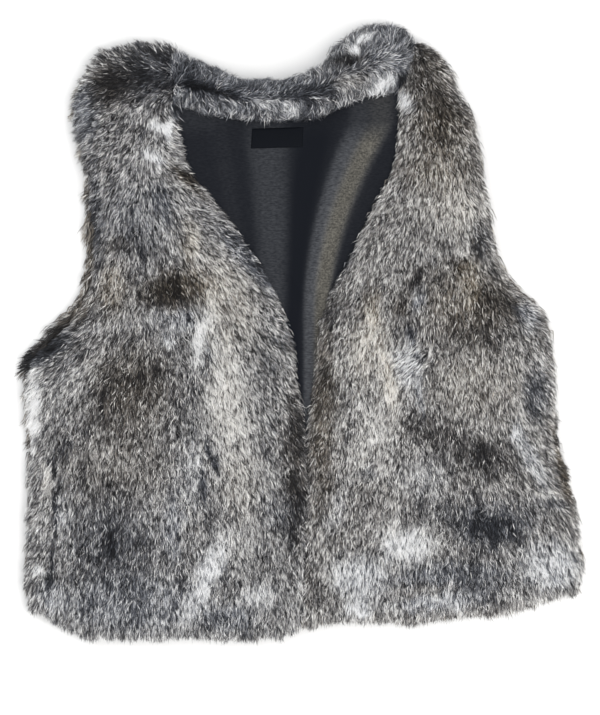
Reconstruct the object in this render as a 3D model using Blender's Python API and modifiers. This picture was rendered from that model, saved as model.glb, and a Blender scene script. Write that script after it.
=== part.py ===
"""A short fur gilet, open at the front and without sleeves, laid flat on its back.

Sizes are in millimetres and are scaled to metres as each piece is made. X runs to the viewer's
right, Y from the hem to the collar, and Z up from the surface that the gilet lies on. Left and
right in names are the wearer's, so the right front is on the viewer's left.

Each fur panel is a wall as thick as its skin and its pile. The panels share one set of sections,
so that they lie parallel where one covers another.
"""

from collections import namedtuple

import bmesh
import bpy
import numpy as np

MM = 0.001

# Thickness of each layer, from the surface upwards
BACK_PILE = 11.0
LINING_WALL = 1.0
LABEL_WALL = 0.8
FRONT_PILE = 15.0
SEAM_GAP = 0.3

# Heights that follow from the layers
LINING_FLOOR = BACK_PILE + SEAM_GAP
LINING_TOP = LINING_FLOOR + LINING_WALL
FRONT_FLOOR = LINING_TOP + SEAM_GAP
BACK_EDGE = 6.0
FRONT_EDGE_FLOOR = BACK_EDGE + SEAM_GAP

# The panels thin towards their edges like fur that turns over
EDGE_ROUND = 20.0
EDGE_SHARE = 0.38
CROWN_SHARE = 0.13

# One row for each section across a front, from the hem to the shoulder. The outer end lies at the
# side seam or the armhole, and the inner end at the centre or the neck. Sag moves the middle of
# the section along Y. Seam is how far the front comes down to the back at its outer end, and peek
# is how far the back shows beyond it there.
Section = namedtuple("Section", "outer_x outer_y inner_x inner_y sag seam peek")

RIGHT_FRONT = [
    Section(-261, -258, -3.0, -278, -19, 1.00, 0),
    Section(-263, -224, 0.0, -224, -7, 1.00, 0),
    Section(-262, -173, 1.5, -173, -2, 1.00, 0),
    Section(-260, -126, 1.5, -126, 0, 1.00, 0),
    Section(-261, -85, -1.0, -85, 0, 1.00, 0),
    Section(-263, -45, -5.0, -41, 0, 0.95, 0),
    Section(-253, -22, -8.0, -7, 0, 0.70, 4),
    Section(-227, 0, -15.0, 20, 0, 0.30, 10),
    Section(-205, 33, -26.0, 46, 0, 0.25, 11),
    Section(-198, 67, -42.0, 73, 0, 0.25, 9),
    Section(-201, 111, -73.0, 115, 0, 0.25, 5),
    Section(-206, 151, -104.0, 154, 0, 0.30, 0),
    Section(-213, 190, -115.0, 192, 0, 0.50, 0),
    Section(-218, 219, -114.0, 222, 2, 0.85, 0),
    Section(-197, 257, -117.0, 260, 9, 1.00, 0),
]

LEFT_FRONT = [
    Section(260, -238, -1.0, -276, -9, 1.00, 0),
    Section(260, -210, 2.0, -224, -4, 1.00, 0),
    Section(257, -173, 3.5, -173, -1, 1.00, 0),
    Section(245, -126, 4.0, -126, 0, 1.00, 0),
    Section(236, -85, 5.0, -80, 0, 1.00, 0),
    Section(236, -43, 7.5, -38, 0, 0.95, 0),
    Section(232, -10, 10.0, -6, 0, 0.70, 0),
    Section(222, 20, 14.0, 20, 0, 0.30, 4),
    Section(192, 47, 24.0, 48, 0, 0.25, 8),
    Section(181, 73, 39.0, 73, 0, 0.25, 3),
    Section(174, 115, 60.0, 117, 0, 0.25, 0),
    Section(168, 154, 79.0, 154, 0, 0.30, 0),
    Section(159, 199, 89.0, 194, 0, 0.50, 0),
    Section(146, 229, 93.0, 227, 1, 0.85, 0),
    Section(134, 254, 98.0, 268, 5, 1.00, 0),
]

# Steps inwards from a seam, with the share of the full fall that is left at each
Step = namedtuple("Step", "distance fall")
SEAM_STEPS = [Step(0, 1.00), Step(7, 0.62), Step(16, 0.28), Step(28, 0.08), Step(45, 0.00)]
EDGE_STEPS = [0, 3, 9, 20]
HEM_STEPS = [0, 8, 20]
FRONT_MIDDLE_COLUMNS = 3
SECTION_DIVISIONS = 2
LEAST_MIDDLE = 15.0
SAG_POWER = 4

# The back is one panel behind both fronts, cut lower at the neck and shorter at the hem and shoulder
BACK_NECK_COLUMNS = 5
BACK_NECK_DIP = 22.0
BACK_NECK_POWER = 3
BACK_HEM_SHORT = 5.0
BACK_SHOULDER_SHORT = 5.0

# The collar's ridge across the back neck, from the wearer's right shoulder to the left. Lean slants
# a section to follow the front that it is sewn to, and outer_floor is the height of its outer edge.
Ridge = namedtuple("Ridge", "x y half_depth height lean outer_floor")
COLLAR = [
    Ridge(-113.5, 232, 23, 15, -0.3, 10.5),
    Ridge(-92, 226, 24, 22, 0.0, 10.0),
    Ridge(-60, 219, 20, 25, 0.0, 10.0),
    Ridge(-18, 218, 20, 26, 0.0, 9.0),
    Ridge(15, 225, 25, 28, 0.0, 7.0),
    Ridge(38, 242, 30, 31, 0.5, 4.5),
    Ridge(66, 253, 32, 32, 1.5, 3.0),
    Ridge(94.9, 254, 29, 22, 2.5, 4.5),
]
COLLAR_DIVISIONS = 3
COLLAR_ACROSS = 12
COLLAR_EDGE_SHARE = 0.22

# The lining shows in the neck and the centre gap, and runs on a little way under the fronts
LINING_ROWS = 20
LINING_COLUMNS = 16
LINING_FIRST_SECTION = 3.3
LINING_LAST_SECTION = 12.85
LINING_UNDER_FRONT = 18.0
FOLD_MARGIN = 9.0
FOLD_CLEAR = 10.0
Fold = namedtuple("Fold", "x_neck x_point half_width height")
FOLD_NECK_Y = 185.0
FOLD_POINT_Y = 20.0
FOLD_FADE = 40.0
FOLDS = [
    Fold(-30, -10, 15, 2.6),
    Fold(29, 2, 12, 3.0),
    Fold(57, 10, 13, 3.8),
]

# The label is sewn flat on the lining below the collar
LABEL_WIDTH = 48.0
LABEL_DEPTH = 18.5
LABEL_CENTRE = (-25.0, 183.5)
LABEL_COLUMNS = 6
LABEL_ROWS = 3

# Colour, roughness and metallic value of each finish
Finish = namedtuple("Finish", "colour roughness metallic")
FINISHES = {
    "fur": Finish((0.23, 0.21, 0.19, 1.0), 0.85, 0.0),
    "collar_fur": Finish((0.28, 0.27, 0.27, 1.0), 0.85, 0.0),
    "lining_satin": Finish((0.022, 0.023, 0.026, 1.0), 0.42, 0.0),
    "label_weave": Finish((0.006, 0.006, 0.008, 1.0), 0.65, 0.0),
}


def clear_scene():
    """Removes every object that the scene already holds."""
    for item in list(bpy.data.objects):
        bpy.data.objects.remove(item, do_unlink=True)


def make_collection(name):
    """Makes the collection that holds the gilet's pieces."""
    collection = bpy.data.collections.new(name)
    bpy.context.scene.collection.children.link(collection)
    return collection


def make_material(name, finish):
    """Makes a Principled material with one plain finish."""
    material = bpy.data.materials.new(name)
    material.use_nodes = True
    shader = material.node_tree.nodes["Principled BSDF"]
    shader.inputs["Base Color"].default_value = finish.colour
    shader.inputs["Roughness"].default_value = finish.roughness
    shader.inputs["Metallic"].default_value = finish.metallic
    return material


def smooth_column(sections, column, station):
    """Reads one column of a table at fractional row numbers, along a smooth curve through its rows."""
    values = np.array([getattr(section, column) for section in sections], dtype=float)
    slopes = np.gradient(values)
    low = np.clip(np.floor(station).astype(int), 0, len(values) - 2)
    t = station - low
    start = (1 + 2 * t) * (1 - t) ** 2 * values[low] + t * (1 - t) ** 2 * slopes[low]
    end = t ** 2 * (3 - 2 * t) * values[low + 1] + t ** 2 * (t - 1) * slopes[low + 1]
    return start + end


def section_stations():
    """Gives the fractional row numbers of the sections, closer together at the hem and the shoulder."""
    last = len(RIGHT_FRONT) - 1
    hem_length = RIGHT_FRONT[1].outer_y - RIGHT_FRONT[0].outer_y
    hem = [step / hem_length for step in HEM_STEPS]
    body = np.linspace(1, last - 1, (last - 2) * SECTION_DIVISIONS + 1)
    full = SEAM_STEPS[-1].distance
    shoulder = [last - step.distance / full for step in reversed(SEAM_STEPS)]
    return np.concatenate([hem, body, shoulder[1:]])


def shoulder_fall(station):
    """Gives the share of the full fall that the shoulder seam causes at each section."""
    last = len(RIGHT_FRONT) - 1
    full = SEAM_STEPS[-1].distance
    distances = [step.distance for step in SEAM_STEPS]
    falls = [step.fall for step in SEAM_STEPS]
    return np.interp((last - station) * full, distances, falls)


def section_points(sections, station, share):
    """Places points on each section, at shares of its width from the outer end to the inner end."""
    outer_x = smooth_column(sections, "outer_x", station)[:, None]
    outer_y = smooth_column(sections, "outer_y", station)[:, None]
    inner_x = smooth_column(sections, "inner_x", station)[:, None]
    inner_y = smooth_column(sections, "inner_y", station)[:, None]
    sag = smooth_column(sections, "sag", station)[:, None]
    x = outer_x + (inner_x - outer_x) * share
    y = outer_y + (inner_y - outer_y) * share
    y = y + sag * (1 - np.abs(2 * share - 1) ** SAG_POWER)
    return x, y


def section_width(sections, station):
    """Gives the width of each section."""
    outer_x = smooth_column(sections, "outer_x", station)
    inner_x = smooth_column(sections, "inner_x", station)
    return np.abs(inner_x - outer_x)


def step_scale(width):
    """Shrinks the edge steps where a section is too narrow to hold them."""
    needed = SEAM_STEPS[-1].distance + EDGE_STEPS[-1] + LEAST_MIDDLE
    return np.minimum(1.0, width / needed)


def seam_shares(width):
    """Gives the shares of the section's width where the steps in from its outer end lie."""
    distances = np.array([step.distance for step in SEAM_STEPS], dtype=float)
    return distances[None, :] * (step_scale(width) / width)[:, None]


def front_shares(width):
    """Gives the shares of a front's columns: outer steps, a plain middle and inner edge steps."""
    outer = seam_shares(width)
    edges = np.array(EDGE_STEPS[::-1], dtype=float)
    inner = 1 - edges[None, :] * (step_scale(width) / width)[:, None]
    middle_steps = np.arange(1, FRONT_MIDDLE_COLUMNS + 1) / (FRONT_MIDDLE_COLUMNS + 1)
    middle = outer[:, -1:] + (inner[:, :1] - outer[:, -1:]) * middle_steps[None, :]
    return np.concatenate([outer, middle, inner], axis=1)


def rounded(distance):
    """Gives the share of the full pile at a distance in from an edge, along a quarter ellipse."""
    inset = np.clip(distance / EDGE_ROUND, 0, 1)
    return EDGE_SHARE + (1 - EDGE_SHARE) * np.sqrt(1 - (1 - inset) ** 2)


def make_panel(name, points, pile, material, collection):
    """Makes a closed panel from a grid of points on its underside, thickened upwards by the pile."""
    rows, columns, _ = points.shape
    mesh = bpy.data.meshes.new(name)
    form = bmesh.new()
    bmesh.ops.create_grid(form, x_segments=columns - 1, y_segments=rows - 1, size=1.0)
    places = []
    for vertex in form.verts:
        column = round((vertex.co.x + 1) / 2 * (columns - 1))
        row = round((vertex.co.y + 1) / 2 * (rows - 1))
        vertex.co = points[row, column] * MM
        places.append((row, column))
    bmesh.ops.triangulate(form, faces=form.faces[:], quad_method="FIXED")
    form.to_mesh(mesh)
    form.free()
    mesh.materials.append(material)
    panel = bpy.data.objects.new(name, mesh)
    collection.objects.link(panel)
    thickest = float(pile.max())
    group = panel.vertex_groups.new(name="pile")
    for index, (row, column) in enumerate(places):
        group.add([index], float(pile[row, column]) / thickest, "REPLACE")
    wall = panel.modifiers.new("pile", "SOLIDIFY")
    wall.thickness = thickest * MM
    wall.offset = 1.0
    wall.vertex_group = group.name
    mesh.shade_smooth()
    return panel


def make_front(name, sections, material, collection):
    """Makes one front, coming down to the back along its side and shoulder seams."""
    station = section_stations()
    width = section_width(sections, station)
    share = front_shares(width)
    x, y = section_points(sections, station, share)
    falls = np.zeros(share.shape[1])
    falls[:len(SEAM_STEPS)] = [step.fall for step in SEAM_STEPS]
    side = smooth_column(sections, "seam", station)[:, None] * falls[None, :]
    fall = 1 - (1 - side) * (1 - shoulder_fall(station)[:, None])
    z = FRONT_FLOOR - (FRONT_FLOOR - FRONT_EDGE_FLOOR) * fall
    from_outer = share * width[:, None]
    from_inner = (1 - share) * width[:, None]
    from_hem = (y - y[0:1])
    from_top = (y[-1:] - y)
    pile = rounded(from_outer) * rounded(from_inner) * rounded(from_hem) * rounded(from_top)
    pile = FRONT_PILE * pile * (1 - CROWN_SHARE + CROWN_SHARE * np.sin(np.pi * share))
    points = np.stack([x, y, z], axis=2)
    if sections[0].outer_x > sections[0].inner_x:
        points = points[:, ::-1]
        pile = pile[:, ::-1]
    return make_panel(name, points, pile, material, collection)


def back_side(sections, station):
    """Places the back's columns behind one front, from the outer end to the margin of the neck."""
    shared_columns = len(SEAM_STEPS) + FRONT_MIDDLE_COLUMNS + 1
    share = front_shares(section_width(sections, station))[:, :shared_columns]
    x, y = section_points(sections, station, share)
    outward = np.sign(sections[0].outer_x - sections[0].inner_x)
    x[:, 0] += outward * np.maximum(smooth_column(sections, "peek", station), 0)
    fall = np.zeros_like(x)
    fall[:, :len(SEAM_STEPS)] = [step.fall for step in SEAM_STEPS]
    return x, y, fall


def make_back(material, collection):
    """Makes the back as one panel with a flat underside, thinner towards its edges."""
    station = section_stations()
    right_x, right_y, right_fall = back_side(RIGHT_FRONT, station)
    left_x, left_y, left_fall = back_side(LEFT_FRONT, station)
    across = np.arange(1, BACK_NECK_COLUMNS + 1) / (BACK_NECK_COLUMNS + 1)
    neck_x = right_x[:, -1:] + (left_x[:, -1:] - right_x[:, -1:]) * across
    neck_y = right_y[:, -1:] + (left_y[:, -1:] - right_y[:, -1:]) * across
    into_top = np.clip(station - (len(RIGHT_FRONT) - 2), 0, 1)[:, None]
    neck_y = neck_y - BACK_NECK_DIP * into_top * (1 - np.abs(2 * across - 1) ** BACK_NECK_POWER)
    x = np.concatenate([right_x, neck_x, left_x[:, ::-1]], axis=1)
    y = np.concatenate([right_y, neck_y, left_y[:, ::-1]], axis=1)
    y = y + BACK_HEM_SHORT * np.clip(1 - station, 0, 1)[:, None] - BACK_SHOULDER_SHORT * into_top
    side = np.concatenate([right_fall, np.zeros_like(neck_x), left_fall[:, ::-1]], axis=1)
    fall = 1 - (1 - side) * (1 - shoulder_fall(station)[:, None])
    pile = BACK_PILE - (BACK_PILE - BACK_EDGE) * fall
    points = np.stack([x, y, np.zeros_like(x)], axis=2)
    return make_panel("back", points, pile, material, collection)


def make_collar(material, collection):
    """Makes the collar as a rounded ridge, flat where it lies on the lining and lower past the neck."""
    station = np.linspace(0, len(COLLAR) - 1, (len(COLLAR) - 1) * COLLAR_DIVISIONS + 1)
    x = smooth_column(COLLAR, "x", station)
    y = smooth_column(COLLAR, "y", station)
    half_depth = smooth_column(COLLAR, "half_depth", station)
    height = smooth_column(COLLAR, "height", station)
    lean = smooth_column(COLLAR, "lean", station)
    outer_floor = smooth_column(COLLAR, "outer_floor", station)
    across = -np.cos(np.linspace(0, np.pi, COLLAR_ACROSS + 1))
    arch = COLLAR_EDGE_SHARE + (1 - COLLAR_EDGE_SHARE) * np.sqrt(1 - across ** 2)
    points_x = x[None, :] + across[:, None] * lean[None, :]
    points_y = y[None, :] + across[:, None] * half_depth[None, :]
    points_z = FRONT_FLOOR - (np.clip(across, 0, 1) ** 2)[:, None] * (FRONT_FLOOR - outer_floor)[None, :]
    points = np.stack([points_x, points_y, points_z], axis=2)
    pile = arch[:, None] * height[None, :]
    return make_panel("collar", points, pile, material, collection)


def fold_height(x, y, inside):
    """Adds up the lining's soft folds, which run from the neck to the centre and fade at both ends."""
    along = (y - FOLD_POINT_Y) / (FOLD_NECK_Y - FOLD_POINT_Y)
    low_end = np.clip((y - FOLD_POINT_Y) / FOLD_FADE, 0, 1)
    high_end = np.clip((FOLD_NECK_Y - FOLD_FADE / 2 - y) / FOLD_FADE, 0, 1)
    edge = np.clip((inside - FOLD_MARGIN) / FOLD_CLEAR, 0, 1)
    total = np.zeros_like(x)
    for fold in FOLDS:
        centre = fold.x_point + (fold.x_neck - fold.x_point) * along
        total += fold.height * np.exp(-((x - centre) / fold.half_width) ** 2)
    return total * low_end * high_end * edge


def make_lining(material, collection):
    """Makes the lining where it shows, lying on the back with soft lengthwise folds."""
    station = np.linspace(LINING_FIRST_SECTION, LINING_LAST_SECTION, LINING_ROWS)
    right_x = smooth_column(RIGHT_FRONT, "inner_x", station)[:, None]
    right_y = smooth_column(RIGHT_FRONT, "inner_y", station)[:, None]
    left_x = smooth_column(LEFT_FRONT, "inner_x", station)[:, None]
    left_y = smooth_column(LEFT_FRONT, "inner_y", station)[:, None]
    across = np.linspace(0, 1, LINING_COLUMNS)[None, :]
    first_x = right_x - LINING_UNDER_FRONT
    last_x = left_x + LINING_UNDER_FRONT
    x = first_x + (last_x - first_x) * across
    y = right_y + (left_y - right_y) * across
    inside = np.minimum(x - right_x, left_x - x)
    z = LINING_FLOOR + fold_height(x, y, inside)
    points = np.stack([x, y, z], axis=2)
    pile = np.full_like(x, LINING_WALL)
    return make_panel("lining_back", points, pile, material, collection)


def make_label(material, collection):
    """Makes the bare woven label on the flat of the lining."""
    x = LABEL_CENTRE[0] + np.linspace(-0.5, 0.5, LABEL_COLUMNS + 1) * LABEL_WIDTH
    y = LABEL_CENTRE[1] + np.linspace(-0.5, 0.5, LABEL_ROWS + 1) * LABEL_DEPTH
    points_x, points_y = np.meshgrid(x, y)
    points_z = np.full_like(points_x, LINING_TOP + SEAM_GAP)
    points = np.stack([points_x, points_y, points_z], axis=2)
    pile = np.full_like(points_x, LABEL_WALL)
    return make_panel("neck_label", points, pile, material, collection)


clear_scene()
gilet = make_collection("fur_gilet")
materials = {name: make_material(name, finish) for name, finish in FINISHES.items()}
make_back(materials["fur"], gilet)
make_front("front_right", RIGHT_FRONT, materials["fur"], gilet)
make_front("front_left", LEFT_FRONT, materials["fur"], gilet)
make_collar(materials["collar_fur"], gilet)
make_lining(materials["lining_satin"], gilet)
make_label(materials["label_weave"], gilet)
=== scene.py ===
"""The looks of a short fur gilet, laid flat and seen from above.

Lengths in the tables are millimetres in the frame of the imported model, with X to the viewer's right,
Y from the hem to the collar and Z up. A column named px or py is a place in the photograph's
600 by 715 frame. Left and right in names are the wearer's.
"""

from collections import namedtuple

import bpy
import numpy as np
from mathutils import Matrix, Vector


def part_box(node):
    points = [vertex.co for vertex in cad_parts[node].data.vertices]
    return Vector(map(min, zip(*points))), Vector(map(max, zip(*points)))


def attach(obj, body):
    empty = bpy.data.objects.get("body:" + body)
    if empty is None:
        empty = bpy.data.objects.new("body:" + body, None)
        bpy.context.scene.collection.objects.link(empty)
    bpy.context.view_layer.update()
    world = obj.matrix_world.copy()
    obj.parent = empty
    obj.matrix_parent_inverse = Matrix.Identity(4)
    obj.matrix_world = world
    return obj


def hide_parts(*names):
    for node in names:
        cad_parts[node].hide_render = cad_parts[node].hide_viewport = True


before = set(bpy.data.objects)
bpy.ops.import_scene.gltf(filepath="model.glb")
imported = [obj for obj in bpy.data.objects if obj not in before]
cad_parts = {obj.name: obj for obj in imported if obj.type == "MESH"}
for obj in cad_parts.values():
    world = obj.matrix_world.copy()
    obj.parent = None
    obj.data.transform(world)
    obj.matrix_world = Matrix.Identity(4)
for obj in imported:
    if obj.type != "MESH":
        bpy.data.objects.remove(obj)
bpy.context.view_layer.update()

MM = 0.001
BODY = "root"

# The photograph's scale, and the pixel that lies at the frame's origin
PHOTO_WIDTH = 600
PHOTO_HEIGHT = 715
PHOTO_MM = 0.93
PHOTO_ORIGIN = (304.0, 334.0)

# Heights of the layers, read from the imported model
BACK_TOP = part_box("back")[1].z / MM
LINING_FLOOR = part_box("lining_back")[0].z / MM
LINING_WALL = 1.0
LABEL_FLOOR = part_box("neck_label")[0].z / MM
LABEL_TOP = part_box("neck_label")[1].z / MM
FRONT_FLOOR = LABEL_FLOOR
FRONT_EDGE_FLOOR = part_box("front_right")[0].z / MM
FRONT_PILE = 15.0
EDGE_ROUND = 20.0

# One row for each section across a front, from the hem to the shoulder: its two ends, the sag of its
# middle, its share of the side seam's fall, and how far the back shows past it
Section = namedtuple("Section", "outer_x outer_y inner_x inner_y sag seam peek")

RIGHT_FRONT = [
    Section(-261, -258, -3.0, -278, -19, 1.00, 0),
    Section(-263, -224, 0.0, -224, -7, 1.00, 0),
    Section(-262, -173, 1.5, -173, -2, 1.00, 0),
    Section(-260, -126, 1.5, -126, 0, 1.00, 0),
    Section(-261, -85, 0.5, -85, 0, 1.00, 0),
    Section(-263, -45, -4.0, -41, 0, 0.95, 3),
    Section(-253, -22, -8.0, -7, 0, 0.70, 11),
    Section(-227, 0, -15.0, 20, 0, 0.30, 16),
    Section(-205, 33, -26.0, 46, 0, 0.25, 11),
    Section(-198, 67, -42.0, 73, 0, 0.25, 9),
    Section(-201, 111, -73.0, 115, 0, 0.25, 5),
    Section(-206, 151, -104.0, 154, 0, 0.30, 0),
    Section(-213, 190, -115.0, 192, 0, 0.50, 0),
    Section(-218, 219, -114.0, 222, 2, 0.85, 0),
    Section(-197, 257, -117.0, 260, 9, 1.00, 0),
]

LEFT_FRONT = [
    Section(260, -238, -1.0, -276, -9, 1.00, 0),
    Section(260, -210, 2.0, -224, -4, 1.00, 0),
    Section(257, -173, 3.5, -173, -1, 1.00, 0),
    Section(245, -126, 4.0, -126, 0, 1.00, 0),
    Section(236, -85, 5.0, -80, 0, 1.00, 0),
    Section(236, -43, 7.5, -38, 0, 0.95, 0),
    Section(232, -10, 10.0, -6, 0, 0.70, 0),
    Section(222, 20, 14.0, 20, 0, 0.30, 4),
    Section(192, 47, 24.0, 48, 0, 0.25, 8),
    Section(181, 73, 39.0, 73, 0, 0.25, 3),
    Section(174, 115, 60.0, 117, 0, 0.25, 0),
    Section(168, 154, 79.0, 154, 0, 0.30, 0),
    Section(159, 199, 86.0, 194, 0, 0.50, 0),
    Section(146, 229, 88.0, 227, 1, 0.85, 0),
    Section(134, 254, 98.0, 268, 5, 1.00, 0),
]
LAST_SECTION = len(RIGHT_FRONT) - 1
SAG_POWER = 4

# Steps inwards from a seam, with the share of the full fall that is left at each
Step = namedtuple("Step", "distance fall")
SEAM_STEPS = [Step(0, 1.00), Step(7, 0.62), Step(16, 0.28), Step(28, 0.08), Step(45, 0.00)]

# The collar's ridge across the back neck, from the wearer's right shoulder to the left
Ridge = namedtuple("Ridge", "x y half_depth height lean outer_floor")
COLLAR = [
    Ridge(-113.5, 232, 23, 15, -0.3, 10.5),
    Ridge(-92, 226, 24, 22, 0.0, 10.0),
    Ridge(-60, 219, 20, 25, 0.0, 10.0),
    Ridge(-18, 218, 20, 26, 0.0, 9.0),
    Ridge(15, 225, 25, 28, 0.0, 7.0),
    Ridge(38, 242, 30, 31, 0.5, 4.5),
    Ridge(66, 253, 32, 32, 1.5, 3.0),
    Ridge(94.9, 254, 29, 22, 2.5, 4.5),
]

# The skins under the pile, drawn in from the panels' edges by the fur's reach
SKIN_ROWS = 100
SKIN_COLUMNS = 40
SKIN_SHARE = 0.46
SKIN_WALL = 1.2
SKIN_INSETS = {"front_right": 5.0, "front_left": 3.0, "back": 6.0}
WIDEST_INSET = 0.2
SHOULDER_LIFTS = {"front_right": 8.0, "front_left": 6.0}
SHOULDER_SECTIONS = 1.2
CORNER_ROUNDS = {"front_right": 7.0, "front_left": 9.0}
HEM_INSET = 0.1
SHOULDER_INSET = 0.1
EDGE_WAVE = 2.5
SIDE_WAVE_SIZE = 17.0
HEM_WAVE_SIZE = 9.0
SECTION_PITCH = 40
SWELL_EDGE = 0.9
SWELL_MIDDLE = 0.1
SWELL_NOISE = 0.10
SWELL_SIZE = 55.0

# The fronts' centre edges, by section: how far the skin is drawn in, and how much of its edge is rounded
CENTRE_INSET = [(0, 1.0), (3.5, 1.0), (4.3, 3.0), (5, 5.8), (6, 5.2), (8, 7.5), (11, 6.0), (14, 3.0)]
CENTRE_ROUND = [(0, 0.3), (3.2, 0.3), (4.4, 1.0)]

# The back's flat form: the height of its edge, the pile left above and below it, how square it is, and
# how far its hem and neck bow
BACK_EDGE_HEIGHT = 4.0
BACK_PILE_ABOVE = 2.0
BACK_PILE_BELOW = 1.6
BACK_SIDE_POWER = 12
BACK_END_POWER = 14
BACK_HEM_BOW = 24
BACK_NECK_BOW = 18
BACK_RIM_DEPTH = 9.0
BACK_UPWARD = 0.3

# The collar's arch, with its reach before and behind the ridge, by row of its table
COLLAR_COLUMNS = 110
COLLAR_ROWS = 46
COLLAR_END_GAP = 0.02
COLLAR_OVERLAP = 8.0
COLLAR_DEPTH_SHARE = 0.76
COLLAR_HEIGHT_SHARE = 0.68
COLLAR_FIRST_HEIGHT = 0.7
COLLAR_LAST_HEIGHT = 0.3
COLLAR_END_DEPTH = 0.5
COLLAR_RUMPLE = 0.10
COLLAR_RUMPLE_SIZE = 24.0
COLLAR_LIFT = 0.6
COLLAR_INNER_SHARE = [(0, 0.72), (4, 0.75), (5, 0.92), (7, 1.0)]
COLLAR_OUTER_SHARE = [(0, 1.6), (0.5, 1.35), (1, 1.05), (2, 0.95), (4, 1.0), (5, 1.2), (7, 1.25)]

# How the collar's hair parts at its ridge and runs along it
RIDGE_STEP = 5
RIDGE_PARTING = 8.0
RIDGE_WIDTH = 9.0
RIDGE_RUN = 0.7
RIDGE_SWAY = 0.8
RIDGE_SWAY_SIZE = 14.0

# How far the hem's fur rises or falls from the cut, along it
HemStep = namedtuple("HemStep", "px rise")
HEM_STEPS = [
    HemStep(25, -2),
    HemStep(38, 5),
    HemStep(60, 1),
    HemStep(75, -4),
    HemStep(98, -6),
    HemStep(120, -1),
    HemStep(150, 0),
    HemStep(193, 5),
    HemStep(218, 1),
    HemStep(253, 6),
    HemStep(277, 1),
    HemStep(300, 1),
    HemStep(330, 6),
    HemStep(350, 7),
    HemStep(370, 3),
    HemStep(392, 7),
    HemStep(410, -3),
    HemStep(450, 0),
    HemStep(480, -1),
    HemStep(503, -5),
    HemStep(530, 0),
    HemStep(558, 3),
    HemStep(582, -2),
]

# A coat is one set of strands: how many, how many points each blade has, how long and wide they are,
# how far they stand up at the root and lie down at the tip, how much their heading wanders, the tufts
# that they gather in, and how their tones spread
SPIKE = 3
SPINDLE = 4
Tuft = namedtuple("Tuft", "centre turn tone length")
Coat = namedtuple("Coat", "strands points length width rise lay wander tuft pull spread shift")
UNDERCOAT = Coat(176000, SPIKE, 7.4, 0.92, 38.0, 16.0, 18.0, 5.0, 0.25, 0.22, -0.12)
TOPCOAT = Coat(100000, SPIKE, 6.4, 0.72, 42.0, 18.0, 22.0, 4.5, 0.25, 0.46, 0.06)
GUARD_HAIRS = Coat(38000, SPINDLE, 6.0, 0.55, 44.0, 16.0, 28.0, 4.5, 0.20, 0.80, 0.12)
COLLAR_COAT = Coat(64000, SPIKE, 8.5, 0.60, 46.0, 20.0, 42.0, 4.5, 0.25, 0.40, -0.04)
COLLAR_GUARD_HAIRS = Coat(18000, SPINDLE, 8.5, 0.50, 48.0, 20.0, 46.0, 4.5, 0.20, 0.55, 0.12)
BACK_RIM_COAT = Coat(22000, SPINDLE, 10.0, 0.80, 34.0, 8.0, 20.0, 6.0, 0.25, 0.26, 0.0)
BACK_MAT_COAT = Coat(24000, SPINDLE, 15.0, 1.70, 24.0, 2.0, 18.0, 9.0, 0.25, 0.24, 0.0)
MAT_INSET = 13.0

# How strands differ within a coat: their turn, stance, length and width
TUFT_TURN = 0.9
OWN_TURN = 0.5
RISE_SPREAD = 9
LAY_SPREAD = 8
LENGTH_SPREAD = 0.22
LENGTH_RANGE = (0.45, 2.2)
WIDTH_SPREAD = 0.25
WIDTH_RANGE = (0.4, 1.8)
TWIST = 38.0
CRIMP = 0.10
ROOT_PART = 0.5
TIP_PART = 0.55
MIDDLE_DROOP = 0.10
TIP_DROOP = 0.30
LEAST_HEIGHT = 0.3
PRESSED_SPREAD = 0.9
PRESSED_TIP = 0.8
TUFT_BEND = 0.45
TUFT_BEND_SIZE = 1.7

# At the panels' edges strands turn outwards, gather in locks of uneven length and grow wispy
EDGE_SPREAD = 0.75
CENTRE_SPREAD = 0.15
EDGE_LOCK = 0.45
EDGE_LOCK_SIZE = 8.0
WISP = 0.55

# The spread of tones: in strands of a pale or dark coat, in soft clouds, in locks with partings between
# them, dark partly from the underfur and partly as painted shade, and in fine streaks
WHITEST = 1.3
DARK_SPREAD = 0.15
PALE_SPREAD = 1.40
TUFT_TONE = 0.11
WARM_SPREAD = 0.12
CLOUD_TONE = 0.07
CLOUD_SIZE = 26.0
CLOUD_STRETCH = 0.7
LOCK_SIZES = (4.5, 9.0)
LOCK_REACH = 9.0
LOCK_STEPS = 7
LOCK_GAIN = 3.0
LOCK_TONE = 0.09
PARTING_FROM = 0.6
PARTING_TONE = -0.14
PARTING_WARM = -0.25
FINE_SIZES = (0.7, 1.0)
FINE_REACH = 1.7
FINE_TONE = 0.46

# Patches have ragged, feathered edges, read where a strand shows: at a share of its outer part
RAGGED = 3.0
RAGGED_SIZE = 11.0
PATCH_EDGE = 1.4
SHOWN = 0.6
FEATHER = 2.5
OWN_FEATHER = 0.5

# Pale strands have no dark tip: the least tick of a strand is the gain times its tone, less the start
UNTICKED_GAIN = 4
UNTICKED_START = 3.6

# Each strand has a cell of its own in the baked picture, narrow and tall, in the order of its tone
BIG_BAKE = 1024
SMALL_BAKE = 512
CELL_HEIGHT = 4
CELL_LOW = 0.03
CELL_HIGH = 1 - CELL_LOW

# A blade's points: how far along the strand they lie, the corners of its triangles, and the points'
# places in its cell
BLADE_ALONG = {SPIKE: (0.0, 0.0, 1.0), SPINDLE: (0.0, 0.5, 0.5, 1.0)}
BLADE_CORNERS = {SPIKE: (0, 1, 2), SPINDLE: (0, 2, 1, 1, 2, 3)}
BLADE_CELL = {
    SPIKE: [(CELL_LOW, CELL_LOW), (CELL_HIGH, CELL_LOW), (0.5, CELL_HIGH)],
    SPINDLE: [(0.5, CELL_LOW), (CELL_LOW, 0.5), (CELL_HIGH, 0.5), (0.5, CELL_HIGH)],
}

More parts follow.
